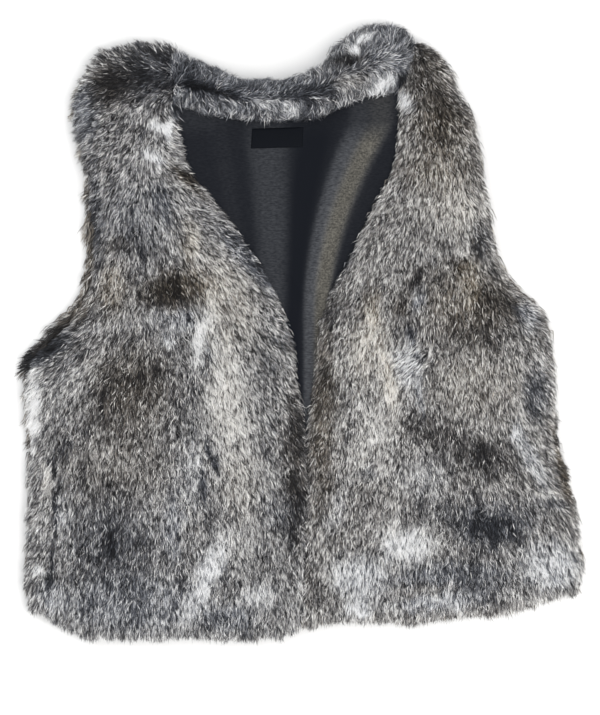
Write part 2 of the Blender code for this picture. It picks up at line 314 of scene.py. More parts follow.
# Comb strokes: where they lie in the photograph, how far they reach in pixels, and which way the
# hair points, in degrees from the viewer's right
Stroke = namedtuple("Stroke", "px py reach heading")
RIGHT_FRONT_STROKES = [
    Stroke(82, 75, 18, 185),
    Stroke(104, 56, 14, 150),
    Stroke(132, 48, 14, 115),
    Stroke(165, 52, 12, 130),
    Stroke(110, 85, 16, 212),
    Stroke(150, 72, 16, 195),
    Stroke(172, 76, 12, 215),
    Stroke(85, 115, 26, 216),
    Stroke(120, 125, 26, 222),
    Stroke(150, 128, 16, 268),
    Stroke(176, 118, 9, 322),
    Stroke(178, 138, 10, 342),
    Stroke(184, 160, 10, 336),
    Stroke(85, 170, 24, 246),
    Stroke(125, 180, 24, 240),
    Stroke(168, 172, 20, 325),
    Stroke(200, 190, 18, 328),
    Stroke(95, 225, 26, 252),
    Stroke(138, 220, 22, 274),
    Stroke(172, 208, 14, 300),
    Stroke(212, 225, 24, 322),
    Stroke(245, 245, 20, 326),
    Stroke(110, 280, 30, 262),
    Stroke(170, 290, 30, 284),
    Stroke(235, 300, 30, 302),
    Stroke(275, 310, 22, 306),
    Stroke(55, 345, 18, 212),
    Stroke(90, 352, 26, 238),
    Stroke(140, 370, 40, 262),
    Stroke(200, 360, 26, 280),
    Stroke(250, 380, 36, 298),
    Stroke(285, 400, 22, 295),
    Stroke(40, 440, 30, 258),
    Stroke(130, 470, 60, 268),
    Stroke(240, 480, 45, 285),
    Stroke(290, 520, 30, 278),
    Stroke(60, 590, 50, 265),
    Stroke(160, 600, 60, 270),
    Stroke(260, 600, 50, 272),
]
LEFT_FRONT_STROKES = [
    Stroke(415, 55, 16, 290),
    Stroke(440, 80, 25, 300),
    Stroke(408, 105, 12, 235),
    Stroke(430, 120, 25, 270),
    Stroke(465, 130, 22, 290),
    Stroke(405, 170, 22, 250),
    Stroke(450, 190, 36, 267),
    Stroke(486, 200, 18, 290),
    Stroke(375, 225, 20, 242),
    Stroke(430, 240, 36, 267),
    Stroke(490, 255, 22, 292),
    Stroke(345, 280, 22, 245),
    Stroke(400, 290, 30, 262),
    Stroke(460, 290, 36, 270),
    Stroke(525, 300, 18, 318),
    Stroke(325, 350, 22, 255),
    Stroke(380, 360, 30, 268),
    Stroke(412, 358, 10, 205),
    Stroke(470, 380, 46, 272),
    Stroke(545, 370, 22, 292),
    Stroke(350, 450, 46, 262),
    Stroke(440, 460, 46, 275),
    Stroke(545, 460, 28, 302),
    Stroke(350, 560, 50, 265),
    Stroke(450, 560, 50, 270),
    Stroke(560, 560, 36, 282),
]

# How much paler or darker a patch is than its panel
INK = -0.60
DARK = -0.42
DIM = -0.28
SHADE = -0.18
FAINT = -0.08
EVEN = 0.0
MIST = 0.08
FROST = 0.22
LIGHT = 0.32
PALE = 0.52
BRIGHT = 0.75
WHITE = 1.10
SNOW = 1.45

# How much bluer or browner it is
BLUE = -1.20
COLD = -0.80
COOL = -0.40
PLAIN = 0.0
BEIGE = 0.40
WARM = 0.70
BROWN = 1.10

# Patches of paler or darker and warmer or bluer fur, where the sewn pelts show them, and patches of painted
# shade in creases, folds, hollows and under seams and painted shadow at the armholes; reaches are in pixels
# and turns in degrees
Patch = namedtuple("Patch", "name px py reach_x reach_y turn pale warm")
RIGHT_FRONT_PATCHES = [
    Patch("shoulder dark", 108, 84, 26, 26, 0, DARK, BEIGE),
    Patch("shoulder top", 152, 74, 34, 27, 0, DARK, COOL),
    Patch("shoulder rim", 140, 50, 42, 10, 0, SHADE, PLAIN),
    Patch("shoulder edge", 80, 112, 14, 26, 0, FAINT, BLUE),
    Patch("white tuft", 162, 126, 11, 5, 4, SNOW, BLUE),
    Patch("white tuft side", 170, 133, 5, 9, 0, SNOW, BLUE),
    Patch("white trail", 152, 159, 11, 5, -31, WHITE, BLUE),
    # Painted shadow of the collar in the hollow beside its end
    Patch("neck hollow", 177, 110, 7, 10, 0, DARK, BLUE),
    Patch("neck brown", 185, 176, 15, 7, -38, INK, BROWN),
    Patch("neck frost", 195, 190, 22, 6, -32, FAINT, BEIGE),
    Patch("chest pocket", 164, 205, 8, 18, 19, SHADE, BLUE),
    Patch("chest blue", 135, 220, 28, 40, 0, FAINT, COOL),
    Patch("armhole strip", 93, 215, 8, 55, 0, DIM, COOL),
    Patch("chest shade", 118, 248, 22, 10, 0, DIM, BEIGE),
    Patch("chest light", 190, 245, 9, 24, 0, FROST, BROWN),
    Patch("chest dark", 177, 291, 37, 19, 5, DARK, BROWN),
    Patch("side warm", 112, 290, 16, 26, 0, FAINT, BROWN),
    Patch("inner light", 228, 300, 26, 50, 25, FROST, WARM),
    Patch("neck edge", 252, 262, 9, 44, 42, DIM, COLD),
    Patch("white streak", 203, 338, 7, 31, -14, BRIGHT, COOL),
    # Painted shade in a crease beside the white streak
    Patch("streak crease", 209, 357, 3, 10, 0, DARK, COOL),
    Patch("streak shade", 186, 322, 11, 8, 0, DIM, BLUE),
    Patch("streak tuft", 170, 341, 6, 5, 20, BRIGHT, COLD),
    Patch("blue light", 172, 322, 24, 11, 0, FROST, COOL),
    # Painted shadow inside the armhole
    Patch("armhole hollow", 40, 352, 28, 9, 37, INK, BLUE),
    Patch("armhole shade", 82, 310, 8, 18, -40, SHADE, WARM),
    Patch("body dark", 130, 392, 42, 48, 0, DIM, WARM),
    Patch("armhole frost", 62, 378, 24, 26, 0, MIST, PLAIN),
    Patch("centre strip", 228, 395, 22, 75, 6, PALE, BEIGE),
    Patch("strip seam", 214, 459, 3, 18, 20, INK, BLUE),
    # Painted shade in a crease
    Patch("strip crease", 203, 488, 3, 18, 0, DARK, COLD),
    Patch("grey band", 192, 475, 14, 34, 0, MIST, COOL),
    Patch("inner edge", 297, 468, 14, 82, 0, DARK, BEIGE),
    Patch("low strip", 240, 490, 22, 36, 0, MIST, BEIGE),
    Patch("body low", 120, 470, 58, 34, 0, FAINT, BEIGE),
    Patch("low dark", 112, 545, 42, 44, 0, DIM, COOL),
    Patch("low blue strip", 172, 530, 9, 34, 0, EVEN, COLD),
    Patch("side blue", 62, 518, 9, 16, 0, LIGHT, COOL),
    Patch("low streak", 206, 580, 11, 42, -22, BRIGHT, COLD),
    Patch("low light", 235, 548, 20, 14, 0, LIGHT, PLAIN),
    Patch("inner low dark", 285, 515, 24, 18, 0, FAINT, COOL),
    Patch("hem light", 258, 598, 18, 12, 0, PALE, COOL),
    Patch("hem dark", 130, 606, 55, 24, 0, FAINT, BLUE),
    Patch("hem middle", 228, 620, 22, 13, 0, FAINT, BLUE),
    Patch("hem frost", 52, 600, 14, 12, 0, FROST, BLUE),
    Patch("side white", 31, 412, 8, 36, 0, WHITE, COOL),
    Patch("side tuft", 38, 573, 7, 7, 0, WHITE, COOL),
    # Painted shade in the side's creases, in these three rows
    Patch("side crease top", 48, 461, 3, 17, 30, DARK, COOL),
    Patch("side crease", 55, 503, 3, 30, -3, DARK, COOL),
    Patch("side crease low", 51, 570, 3, 32, -6, DARK, COOL),
    Patch("side strip", 45, 478, 5, 24, 0, PALE, BEIGE),
]
LEFT_FRONT_PATCHES = [
    Patch("shoulder dark", 434, 80, 26, 44, 0, DIM, BEIGE),
    Patch("neck tuft", 405, 104, 8, 8, 0, WHITE, BLUE),
    Patch("upper brown", 445, 128, 32, 26, 0, SHADE, WARM),
    Patch("upper mid", 440, 172, 40, 24, 0, EVEN, WARM),
    Patch("upper light", 458, 212, 32, 24, 0, LIGHT, BEIGE),
    Patch("armhole dark", 483, 236, 9, 18, 0, DARK, COOL),
    Patch("light seam", 436, 253, 34, 4, 0, MIST, PLAIN),
    # Painted shade under a seam
    Patch("seam shade", 462, 262, 16, 5, 0, FAINT, PLAIN),
    Patch("join top", 417, 279, 5, 19, -31, DARK, PLAIN),
    Patch("join light", 419, 302, 8, 12, -20, FROST, BLUE),
    Patch("join low", 411, 338, 4, 12, 8, DARK, COLD),
    Patch("chest mid", 468, 305, 44, 36, 0, SHADE, WARM),
    Patch("small blotch", 459, 270, 6, 10, 0, DARK, BROWN),
    Patch("warm spot", 470, 284, 9, 22, 0, FROST, BROWN),
    Patch("side dark", 502, 302, 26, 18, -25, DIM, PLAIN),
    Patch("side frost", 530, 318, 10, 13, 0, LIGHT, BLUE),
    Patch("pale band", 372, 312, 10, 20, 0, MIST, BROWN),
    Patch("inner pale", 368, 352, 20, 30, 0, PALE, WARM),
    Patch("pale streak", 389, 382, 7, 34, 8, PALE, WARM),
    Patch("neck dark", 335, 272, 8, 28, -35, INK, COLD),
    Patch("chest hollow", 403, 308, 10, 10, 0, DIM, BEIGE),
    Patch("swirl dark", 414, 358, 5, 5, 0, INK, BLUE),
    Patch("swirl light", 408, 368, 14, 24, 10, PALE, COLD),
    Patch("swirl seam", 421, 398, 4, 20, 6, MIST, COLD),
    Patch("chest seam", 485, 336, 56, 15, 0, SHADE, PLAIN),
    Patch("body light", 478, 385, 46, 34, 0, MIST, BEIGE),
    Patch("side blue", 537, 395, 14, 26, 0, DIM, COLD),
    Patch("seam dark", 425, 430, 30, 16, -10, DIM, PLAIN),
    Patch("dark knot", 487, 460, 30, 22, 0, SHADE, PLAIN),
    Patch("low side frost", 533, 464, 9, 32, 26, LIGHT, COLD),
    Patch("pelt corner", 517, 437, 6, 9, 0, PALE, BLUE),
    Patch("pelt edge", 548, 496, 18, 3, 4, PALE, PLAIN),
    # Painted shade under the pelt's edge
    Patch("pelt shade", 556, 507, 20, 6, 0, SHADE, COOL),
    Patch("side edge", 566, 470, 6, 40, 12, DIM, BROWN),
    Patch("mid light", 372, 440, 26, 44, 0, LIGHT, PLAIN),
    Patch("inner dark", 322, 420, 13, 90, 0, DIM, WARM),
    Patch("mid shade", 366, 474, 12, 7, 20, SHADE, COOL),
    Patch("mid blue", 425, 480, 26, 24, 0, FROST, COOL),
    Patch("mid dark", 470, 468, 60, 28, 0, SHADE, PLAIN),
    Patch("low frost", 335, 515, 9, 26, -25, FROST, COOL),
    Patch("dark band", 485, 516, 64, 18, 0, SHADE, COOL),
    Patch("dark pool", 492, 532, 36, 20, 0, DARK, COLD),
    Patch("white fleck", 395, 526, 5, 9, 0, PALE, PLAIN),
    Patch("low pale", 408, 548, 26, 18, 0, BRIGHT, COLD),
    Patch("hem frost", 360, 580, 26, 22, -20, PALE, BLUE),
    Patch("hem white", 358, 612, 14, 9, 0, BRIGHT, BLUE),
    Patch("low dark", 430, 576, 34, 9, 8, FAINT, BLUE),
    Patch("hem dark", 480, 580, 34, 18, 0, SHADE, COLD),
    Patch("corner frost", 552, 568, 28, 24, 0, PALE, BLUE),
    Patch("hem pale", 440, 604, 46, 8, 4, LIGHT, BLUE),
]
COLLAR_PATCHES = [
    # Painted shade in the crease where the collar's end meets the front
    Patch("left shade", 178, 76, 9, 24, 0, FAINT, COLD),
    Patch("top fringe", 265, 77, 40, 5, 0, FAINT, COLD),
    Patch("outer side", 255, 89, 75, 9, 0, FAINT, BLUE),
    Patch("left side", 200, 76, 26, 16, -15, FAINT, COLD),
    Patch("left top", 192, 65, 22, 8, -25, SHADE, COLD),
    # Painted shade in a crease
    Patch("crease", 208, 90, 28, 5, -15, DARK, BROWN),
    Patch("left light", 180, 90, 6, 9, 0, PALE, BLUE),
    Patch("left frost", 184, 108, 8, 8, 0, FROST, BLUE),
    Patch("inner side", 250, 108, 62, 10, 0, FAINT, COOL),
    Patch("inner white", 266, 107, 6, 5, 0, PALE, BLUE),
    Patch("inner tuft", 292, 112, 8, 6, 0, WHITE, BLUE),
    Patch("top white", 366, 38, 5, 10, -54, SNOW, COLD),
    Patch("top tuft", 355, 52, 6, 5, 20, SNOW, BLUE),
    Patch("right white", 383, 87, 11, 6, 30, SNOW, BLUE),
    Patch("right blue", 390, 48, 16, 22, 0, MIST, BLUE),
    # Painted shade in a fold
    Patch("right fold", 348, 60, 16, 5, 10, DARK, WARM),
    Patch("right inner", 348, 86, 22, 11, 20, FROST, WARM),
    # Painted shade in the hollow at the collar's end
    Patch("end dark", 402, 84, 6, 12, 0, INK, BLUE),
]
BACK_PATCHES = [
    # Painted shadow of the front on the back's fur at the armhole, in these two rows
    Patch("right armhole", 45, 345, 34, 16, 37, DARK, COOL),
    Patch("armhole corner", 22, 366, 16, 14, 0, DARK, COLD),
    Patch("left side", 560, 470, 20, 60, 0, SHADE, PLAIN),
]

# The tone and warmth of each panel between its patches
Base = namedtuple("Base", "pale warm")
BASES = {
    "front_right": Base(0.64, -0.43),
    "front_left": Base(0.645, -0.20),
    "collar": Base(0.37, -0.85),
    "back": Base(0.50, 0.40),
}

# The lining shows in the neck and the centre gap, and runs on a little way under the fronts
LINING_ROWS = 100
LINING_COLUMNS = 60
LINING_FIRST_SECTION = 3.3
LINING_LAST_SECTION = 13.3
LINING_UNDER_FRONT = 18.0
FOLD_MARGIN = 9.0
FOLD_CLEAR = 10.0
FOLD_NECK_Y = 185.0
FOLD_POINT_Y = 20.0
FOLD_FADE = 40.0
RIPPLE = 0.25
RIPPLE_STRETCH = (2.5, 0.6)
RIPPLE_SIZE = 14.0
RIPPLE_CLEAR = 10.0
LINING_DROP = 0.1
Fold = namedtuple("Fold", "x_neck x_point half_width height")
FOLDS = [
    Fold(-30, -10, 15, 2.6),
    Fold(29, 2, 12, 3.0),
    Fold(57, 10, 13, 3.8),
]

# Painted sheen on the satin: bands of painted highlight from the neck to the centre, with half widths in
# pixels
PaintedSheen = namedtuple("PaintedSheen", "px_neck px_point half_width light olive")
PAINTED_SHEENS = [
    PaintedSheen(215, 240, 10, 0.03, 0.00),
    PaintedSheen(265, 274, 21, 0.19, 0.00),
    # Painted shade along a fold
    PaintedSheen(320, 291, 18, -0.05, 0.00),
    PaintedSheen(360, 309, 10, 0.37, 0.00),
    # A painted gold reflection: the olive band
    PaintedSheen(382, 321, 13, 0.46, 0.80),
]
SHEEN_NECK_PY = 120
SHEEN_POINT_PY = 330
SHEEN_NARROWEST = 0.55
# The collar's painted shadow: the painted sheen fades out towards the neck, gone at the first share along
# the band and fading over the second
COLLAR_SHADOW_FADE = (1.06, 0.16)
SATIN_LIGHT = 0.045
# A soft painted light on the satin at the neck: its strength, its place in pixels and its reach in
# millimetres
PAINTED_NECK_LIGHT = 0.10
NECK_GLOW_PX = 192
NECK_GLOW_PY = 116
NECK_GLOW_REACH = (32, 13)

# The bare label
LABEL_ROWS = 24
LABEL_COLUMNS = 48
LABEL_WALL = 0.5
LABEL_END_POWER = 16
LABEL_SIDE_POWER = 12
LABEL_BOW = 0.35
LABEL_BOW_TURN = 2.2
LABEL_BOW_START = 0.6
LABEL_SKEW_X = 0.5
LABEL_SKEW_Y = 0.7

# The stage: its floor, the camera's sensor and the rise of the plane that the camera is scaled to are in
# millimetres, and the lights' places and sizes and the camera's height in metres
FLOOR_REACH = 3000.0
FLOOR_COLOUR = (0.88, 0.88, 0.88, 1.0)
SKY_COLOUR = (1.0, 1.0, 1.0, 1.0)
SKY_STRENGTH = 0.95
Light = namedtuple("Light", "name place size power colour")
LIGHTS = [
    Light("key", (1.0, -0.7, 1.7), 1.4, 24.0, (1.0, 0.985, 0.96)),
    Light("fill", (-1.2, 0.9, 1.9), 1.6, 10.0, (0.96, 0.98, 1.0)),
]
CAMERA_HEIGHT = 1.9
CAMERA_SENSOR = 36.0
VIEW_RISE = 10.0

# How many cells the lattices of the noise and of the tufts have on a side, before they repeat
NOISE_LATTICE = 97
TUFT_LATTICE = 211


def from_photo(px, py):
    """Turns a pixel of the photograph into millimetres in the frame: scaled, with Y upwards."""
    return (px - PHOTO_ORIGIN[0]) * PHOTO_MM, (PHOTO_ORIGIN[1] - py) * PHOTO_MM


def between(rows, place):
    """Reads a table's second column at places in its first, by straight lines between its rows."""
    return np.interp(place, [row[0] for row in rows], [row[1] for row in rows])


def smooth_column(sections, column, station):
    """Reads a table's column at fractional rows by cubic Hermite curves with central slopes."""
    values = np.array([getattr(section, column) for section in sections], dtype=float)
    slopes = np.gradient(values)
    low = np.clip(np.floor(station).astype(int), 0, len(values) - 2)
    t = station - low
    start = (1 + 2 * t) * (1 - t) ** 2 * values[low] + t * (1 - t) ** 2 * slopes[low]
    end = t ** 2 * (3 - 2 * t) * values[low + 1] + t ** 2 * (t - 1) * slopes[low + 1]
    return start + end


def smooth_columns(sections, station, *columns):
    """Reads several columns of a table in the same way."""
    return [smooth_column(sections, column, station) for column in columns]


def section_points(sections, station, share):
    """Places a point at a share of each section: a straight line from end to end plus its sag."""
    outer_x, outer_y = smooth_columns(sections, station, "outer_x", "outer_y")
    inner_x, inner_y, sag = smooth_columns(sections, station, "inner_x", "inner_y", "sag")
    x = outer_x + (inner_x - outer_x) * share
    y = outer_y + (inner_y - outer_y) * share + sag * (1 - np.abs(2 * share - 1) ** SAG_POWER)
    return x, y


def section_width(sections, station):
    """Gives the width of each section."""
    inner_x, outer_x = smooth_columns(sections, station, "inner_x", "outer_x")
    return np.abs(inner_x - outer_x)


def quarter(distance):
    """Rises from 0 at an edge to 1 at the edge round, along a quarter ellipse."""
    inset = np.clip(distance / EDGE_ROUND, 0, 1)
    return np.sqrt(1 - (1 - inset) ** 2)


def smooth_noise(x, y, size, seed):
    """Gives soft noise from -1 to 1: seeded values on a square lattice, blended by smooth steps."""
    lattice = np.random.default_rng(seed).uniform(-1, 1, (NOISE_LATTICE, NOISE_LATTICE))
    gx = x / size
    gy = y / size
    i = np.floor(gx).astype(int)
    j = np.floor(gy).astype(int)
    fx = gx - i
    fy = gy - j
    fx = fx * fx * (3 - 2 * fx)
    fy = fy * fy * (3 - 2 * fy)
    next_i = (i + 1) % NOISE_LATTICE
    next_j = (j + 1) % NOISE_LATTICE
    i = i % NOISE_LATTICE
    j = j % NOISE_LATTICE
    near = lattice[i, j] * (1 - fx) + lattice[next_i, j] * fx
    far = lattice[i, next_j] * (1 - fx) + lattice[next_i, next_j] * fx
    return near * (1 - fy) + far * fy


def unit(vectors):
    """Scales each vector to length one."""
    return vectors / np.maximum(np.linalg.norm(vectors, axis=-1, keepdims=True), 1e-9)


def hem_rise(x):
    """Gives the hem's rise in millimetres at each place across."""
    return between(HEM_STEPS, x / PHOTO_MM + PHOTO_ORIGIN[0])


def front_skin(node, sections):
    """Lays a front's skin: its sections, drawn in at the edges and raised over the panel's floor.

    The height is the floor, which falls at the seams, plus a share of the pile times a quarter
    ellipse from each edge.
    """
    v = np.linspace(0, 1, SKIN_ROWS)
    v = v - 0.5 * np.sin(2 * np.pi * v) / (2 * np.pi)
    station = HEM_INSET + (LAST_SECTION - HEM_INSET - SHOULDER_INSET) * v
    u = 0.5 - 0.5 * np.cos(np.pi * np.linspace(0, 1, SKIN_COLUMNS))
    station = np.repeat(station[:, None], SKIN_COLUMNS, axis=1)
    width = section_width(sections, station)
    side_wave = EDGE_WAVE * smooth_noise(station * SECTION_PITCH, station, SIDE_WAVE_SIZE, seed=51)
    outer_inset = np.minimum((SKIN_INSETS[node] + side_wave) / width, WIDEST_INSET)
    inner_inset = np.minimum(between(CENTRE_INSET, station) / width, WIDEST_INSET)
    share = outer_inset + (1 - outer_inset - inner_inset) * u[None, :]
    x, y = section_points(sections, station, share)
    end_wave = EDGE_WAVE * smooth_noise(x, y * 0, HEM_WAVE_SIZE, seed=52)
    y = y + (hem_rise(x) + end_wave) * np.clip(1 - station, 0, 1)
    shoulder = np.clip(station - (LAST_SECTION - SHOULDER_SECTIONS), 0, 1) ** 2
    y = y + (SHOULDER_LIFTS[node] + end_wave - CORNER_ROUNDS[node] * (1 - u[None, :]) ** 3) * shoulder
    from_outer = (share - outer_inset) * width
    from_inner = (1 - inner_inset - share) * width
    from_hem = y - y[:1]
    from_top = y[-1:] - y
    seam = smooth_column(sections, "seam", station)
    side_fall = seam * between(SEAM_STEPS, share * width)
    shoulder_fall = between(SEAM_STEPS, (LAST_SECTION - station) * SEAM_STEPS[-1].distance)
    fall = 1 - (1 - side_fall) * (1 - shoulder_fall)
    floor = FRONT_FLOOR - (FRONT_FLOOR - FRONT_EDGE_FLOOR) * fall
    centre_edge = 1 - (1 - quarter(from_inner)) * between(CENTRE_ROUND, station)
    edge = quarter(from_outer) * centre_edge * quarter(from_hem) * quarter(from_top)
    swell = SWELL_EDGE + SWELL_MIDDLE * np.sin(np.pi * u)[None, :]
    swell = swell + SWELL_NOISE * smooth_noise(x, y, SWELL_SIZE, seed=11)
    z = floor + FRONT_PILE * SKIN_SHARE * edge * swell
    points = np.stack([x, y, z], axis=2)
    if sections[0].outer_x > sections[0].inner_x:
        points = points[:, ::-1]
    return points


def back_outline(station, share):
    """Places the back's points at shares of its whole width, out to where it shows past the fronts."""
    first_x, first_y, first_peek = smooth_columns(RIGHT_FRONT, station, "outer_x", "outer_y", "peek")
    last_x, last_y, last_peek = smooth_columns(LEFT_FRONT, station, "outer_x", "outer_y", "peek")
    first_x = first_x - first_peek
    last_x = last_x + last_peek
    hem = np.clip(1 - station, 0, 1)
    neck = np.clip(station - (LAST_SECTION - 1), 0, 1)
    bulge = 1 - np.abs(2 * share - 1) ** SAG_POWER
    width = last_x - first_x
    inset = SKIN_INSETS["back"] / width
    share = inset + (1 - 2 * inset) * share
    x = first_x + width * share
    y = first_y + (last_y - first_y) * share - BACK_HEM_BOW * hem * bulge - BACK_NECK_BOW * neck * bulge
    return x, y + np.maximum(hem_rise(x), 0) * hem


def back_skin():
    """Lays the back's skin as a flat closed form: a top and an underside that meet at its edge.

    The section is a flattened ellipse across, pinched at the hem and the shoulder.
    """
    rows = SKIN_ROWS
    v = np.linspace(0, 1, rows)
    station = HEM_INSET + (LAST_SECTION - HEM_INSET - SHOULDER_INSET) * v
    turn = np.linspace(0, 2 * np.pi, 2 * SKIN_COLUMNS, endpoint=False)
    station = np.repeat(station[:, None], len(turn), axis=1)
    share = np.repeat((0.5 - 0.5 * np.cos(turn))[None, :], rows, axis=0)
    x, y = back_outline(station, share)
    across = 1 - np.abs(2 * share - 1) ** BACK_SIDE_POWER
    pinch = np.sqrt(np.clip(1 - np.abs(2 * v - 1) ** BACK_END_POWER, 0, 1))[:, None]
    above = (BACK_TOP - BACK_PILE_ABOVE - BACK_EDGE_HEIGHT) * np.sqrt(np.clip(across, 0, 1)) * pinch
    below = (BACK_EDGE_HEIGHT - BACK_PILE_BELOW) * np.sqrt(np.clip(across, 0, 1)) * pinch
    upper = np.sin(turn)[None, :] > 0
    z = BACK_EDGE_HEIGHT + np.where(upper, above, -below)
    return np.stack([x, y, z], axis=2)


def collar_skin():
    """Lays the collar's skin: the ridge's sections, each an arch that is smaller than the fur's reach."""
    along = np.linspace(COLLAR_END_GAP, len(COLLAR) - 1 - COLLAR_END_GAP, COLLAR_COLUMNS)
    turn = np.linspace(0, np.pi, COLLAR_ROWS)
    across = -np.cos(turn)
    x, y, lean = smooth_columns(COLLAR, along, "x", "y", "lean")
    depth, height, outer_floor = smooth_columns(COLLAR, along, "half_depth", "height", "outer_floor")
    x = x - COLLAR_OVERLAP * np.clip(1 - along, 0, 1) ** 2
    first_end = COLLAR_FIRST_HEIGHT + (1 - COLLAR_FIRST_HEIGHT) * quarter(x - x[0])
    last_end = COLLAR_LAST_HEIGHT + (1 - COLLAR_LAST_HEIGHT) * quarter(x[-1] - x)
    end = np.minimum(first_end, last_end)
    depth = depth * COLLAR_DEPTH_SHARE * (COLLAR_END_DEPTH + (1 - COLLAR_END_DEPTH) * end)
    height = height * COLLAR_HEIGHT_SHARE * end
    floor = FRONT_FLOOR - (np.clip(across, 0, 1) ** 2)[:, None] * (FRONT_FLOOR - outer_floor)[None, :]
    rumple = 1 + COLLAR_RUMPLE * smooth_noise(x, y, COLLAR_RUMPLE_SIZE, seed=5)[None, :]
    points_x = x[None, :] + across[:, None] * lean[None, :]
    inner = between(COLLAR_INNER_SHARE, along)[None, :]
    outer = between(COLLAR_OUTER_SHARE, along)[None, :]
    reach = np.where(across[:, None] < 0, inner, outer) * across[:, None]
    points_y = y[None, :] + reach * depth[None, :]
    points_z = floor + np.sin(turn)[:, None] * height[None, :] * rumple + COLLAR_LIFT
    return np.stack([points_x, points_y, points_z], axis=2)


def fold_height(x, y, inside):
    """Adds up the lining's folds: a Gaussian ridge across each, faded at its ends and at the fronts."""
    along = (y - FOLD_POINT_Y) / (FOLD_NECK_Y - FOLD_POINT_Y)
    low_end = np.clip((y - FOLD_POINT_Y) / FOLD_FADE, 0, 1)
    high_end = np.clip((FOLD_NECK_Y - FOLD_FADE / 2 - y) / FOLD_FADE, 0, 1)
    edge = np.clip((inside - FOLD_MARGIN) / FOLD_CLEAR, 0, 1)
    total = np.zeros_like(x)
    for fold in FOLDS:
        centre = fold.x_point + (fold.x_neck - fold.x_point) * along
        total += fold.height * np.exp(-((x - centre) / fold.half_width) ** 2)
    return total * low_end * high_end * edge


def lining_surface():
    """Lays the lining between the fronts' inner edges and under them, with its folds and fine ripples."""
    station = np.linspace(LINING_FIRST_SECTION, LINING_LAST_SECTION, LINING_ROWS)[:, None]
    right_x, right_y = smooth_columns(RIGHT_FRONT, station, "inner_x", "inner_y")
    left_x, left_y = smooth_columns(LEFT_FRONT, station, "inner_x", "inner_y")
    across = np.linspace(0, 1, LINING_COLUMNS)[None, :]
    first_x = right_x - LINING_UNDER_FRONT
    last_x = left_x + LINING_UNDER_FRONT
    x = first_x + (last_x - first_x) * across
    y = right_y + (left_y - right_y) * across
    inside = np.minimum(x - right_x, left_x - x)
    ripple = RIPPLE * smooth_noise(x * RIPPLE_STRETCH[0], y * RIPPLE_STRETCH[1], RIPPLE_SIZE, seed=21)
    ripple = ripple * np.clip(inside / RIPPLE_CLEAR, 0, 1)
    z = LINING_FLOOR + LINING_WALL + fold_height(x, y, inside) + ripple - LINING_DROP
    return np.stack([x, y, z], axis=2)


def label_surface():
    """Lays the label flat with a faint bow and turned-down ends."""
    low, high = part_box("neck_label")
    x = np.linspace(low.x, high.x, LABEL_COLUMNS)[None, :] / MM
    y = np.linspace(low.y, high.y, LABEL_ROWS)[:, None] / MM
    u = np.linspace(-1, 1, LABEL_COLUMNS)[None, :]
    v = np.linspace(-1, 1, LABEL_ROWS)[:, None]
    edge = (1 - np.abs(u) ** LABEL_END_POWER) * (1 - np.abs(v) ** LABEL_SIDE_POWER)
    bow = LABEL_BOW * np.cos(LABEL_BOW_TURN * u + LABEL_BOW_START)
    z = LABEL_FLOOR + (LABEL_TOP - LABEL_FLOOR) * edge + bow * edge
    x = x + LABEL_SKEW_X * v
    y = y + LABEL_SKEW_Y * u
    shape = np.broadcast_shapes(x.shape, y.shape, z.shape)
    return np.stack([np.broadcast_to(part, shape) for part in (x, y, z)], axis=2)


def grid_faces(rows, columns, closed):
    """Numbers the quads of a grid of points, row by row.

    A closed grid is joined round across, and each of its end rows is sewn shut, point to the point
    that faces it.
    """
    index = np.arange(rows * columns).reshape(rows, columns)
    last = columns - 1
    if closed:
        last = columns
        facing = np.minimum(np.arange(columns), -np.arange(columns) % columns)
        index[0] = index[0, facing]
        index[-1] = index[-1, facing]
    beside = np.roll(index, -1, axis=1)
    quads = [index[:-1, :last], beside[:-1, :last], beside[1:, :last], index[1:, :last]]
    return np.stack(quads, axis=2).reshape(-1, 4)


def make_mesh(name, points, faces, material):
    """Makes a smooth mesh object from points in millimetres and faces of equal size."""
    mesh = bpy.data.meshes.new(name)
    count, corners = faces.shape
    mesh.vertices.add(len(points))
    mesh.vertices.foreach_set("co", (points * MM).astype(np.float32).ravel())
    mesh.loops.add(count * corners)
    mesh.loops.foreach_set("vertex_index", faces.astype(np.int32).ravel())
    mesh.polygons.add(count)
    mesh.polygons.foreach_set("loop_start", np.arange(count, dtype=np.int32) * corners)
    mesh.update(calc_edges=True)
    mesh.shade_smooth()
    mesh.materials.append(material)
    piece = bpy.data.objects.new(name, mesh)
    bpy.context.scene.collection.objects.link(piece)
    return piece


def make_grid(name, points, material, closed=False):
    """Makes a mesh object from a grid of points, leaving out points that no face uses."""
    rows, columns, _ = points.shape
    used, faces = np.unique(grid_faces(rows, columns, closed), return_inverse=True)
    return make_mesh(name, points.reshape(-1, 3)[used], faces.reshape(-1, 4), material)


def thicken(piece, wall):
    """Gives a sheet its wall, inwards from the surface that shows."""
    modifier = piece.modifiers.new("wall", "SOLIDIFY")
    modifier.thickness = wall * MM
    modifier.offset = -1.0


def surface_normals(points):
    """Gives a grid's normals: the cross product of its slopes along columns and rows."""
    across = np.gradient(points, axis=1)
    along = np.gradient(points, axis=0)
    return unit(np.cross(across, along))


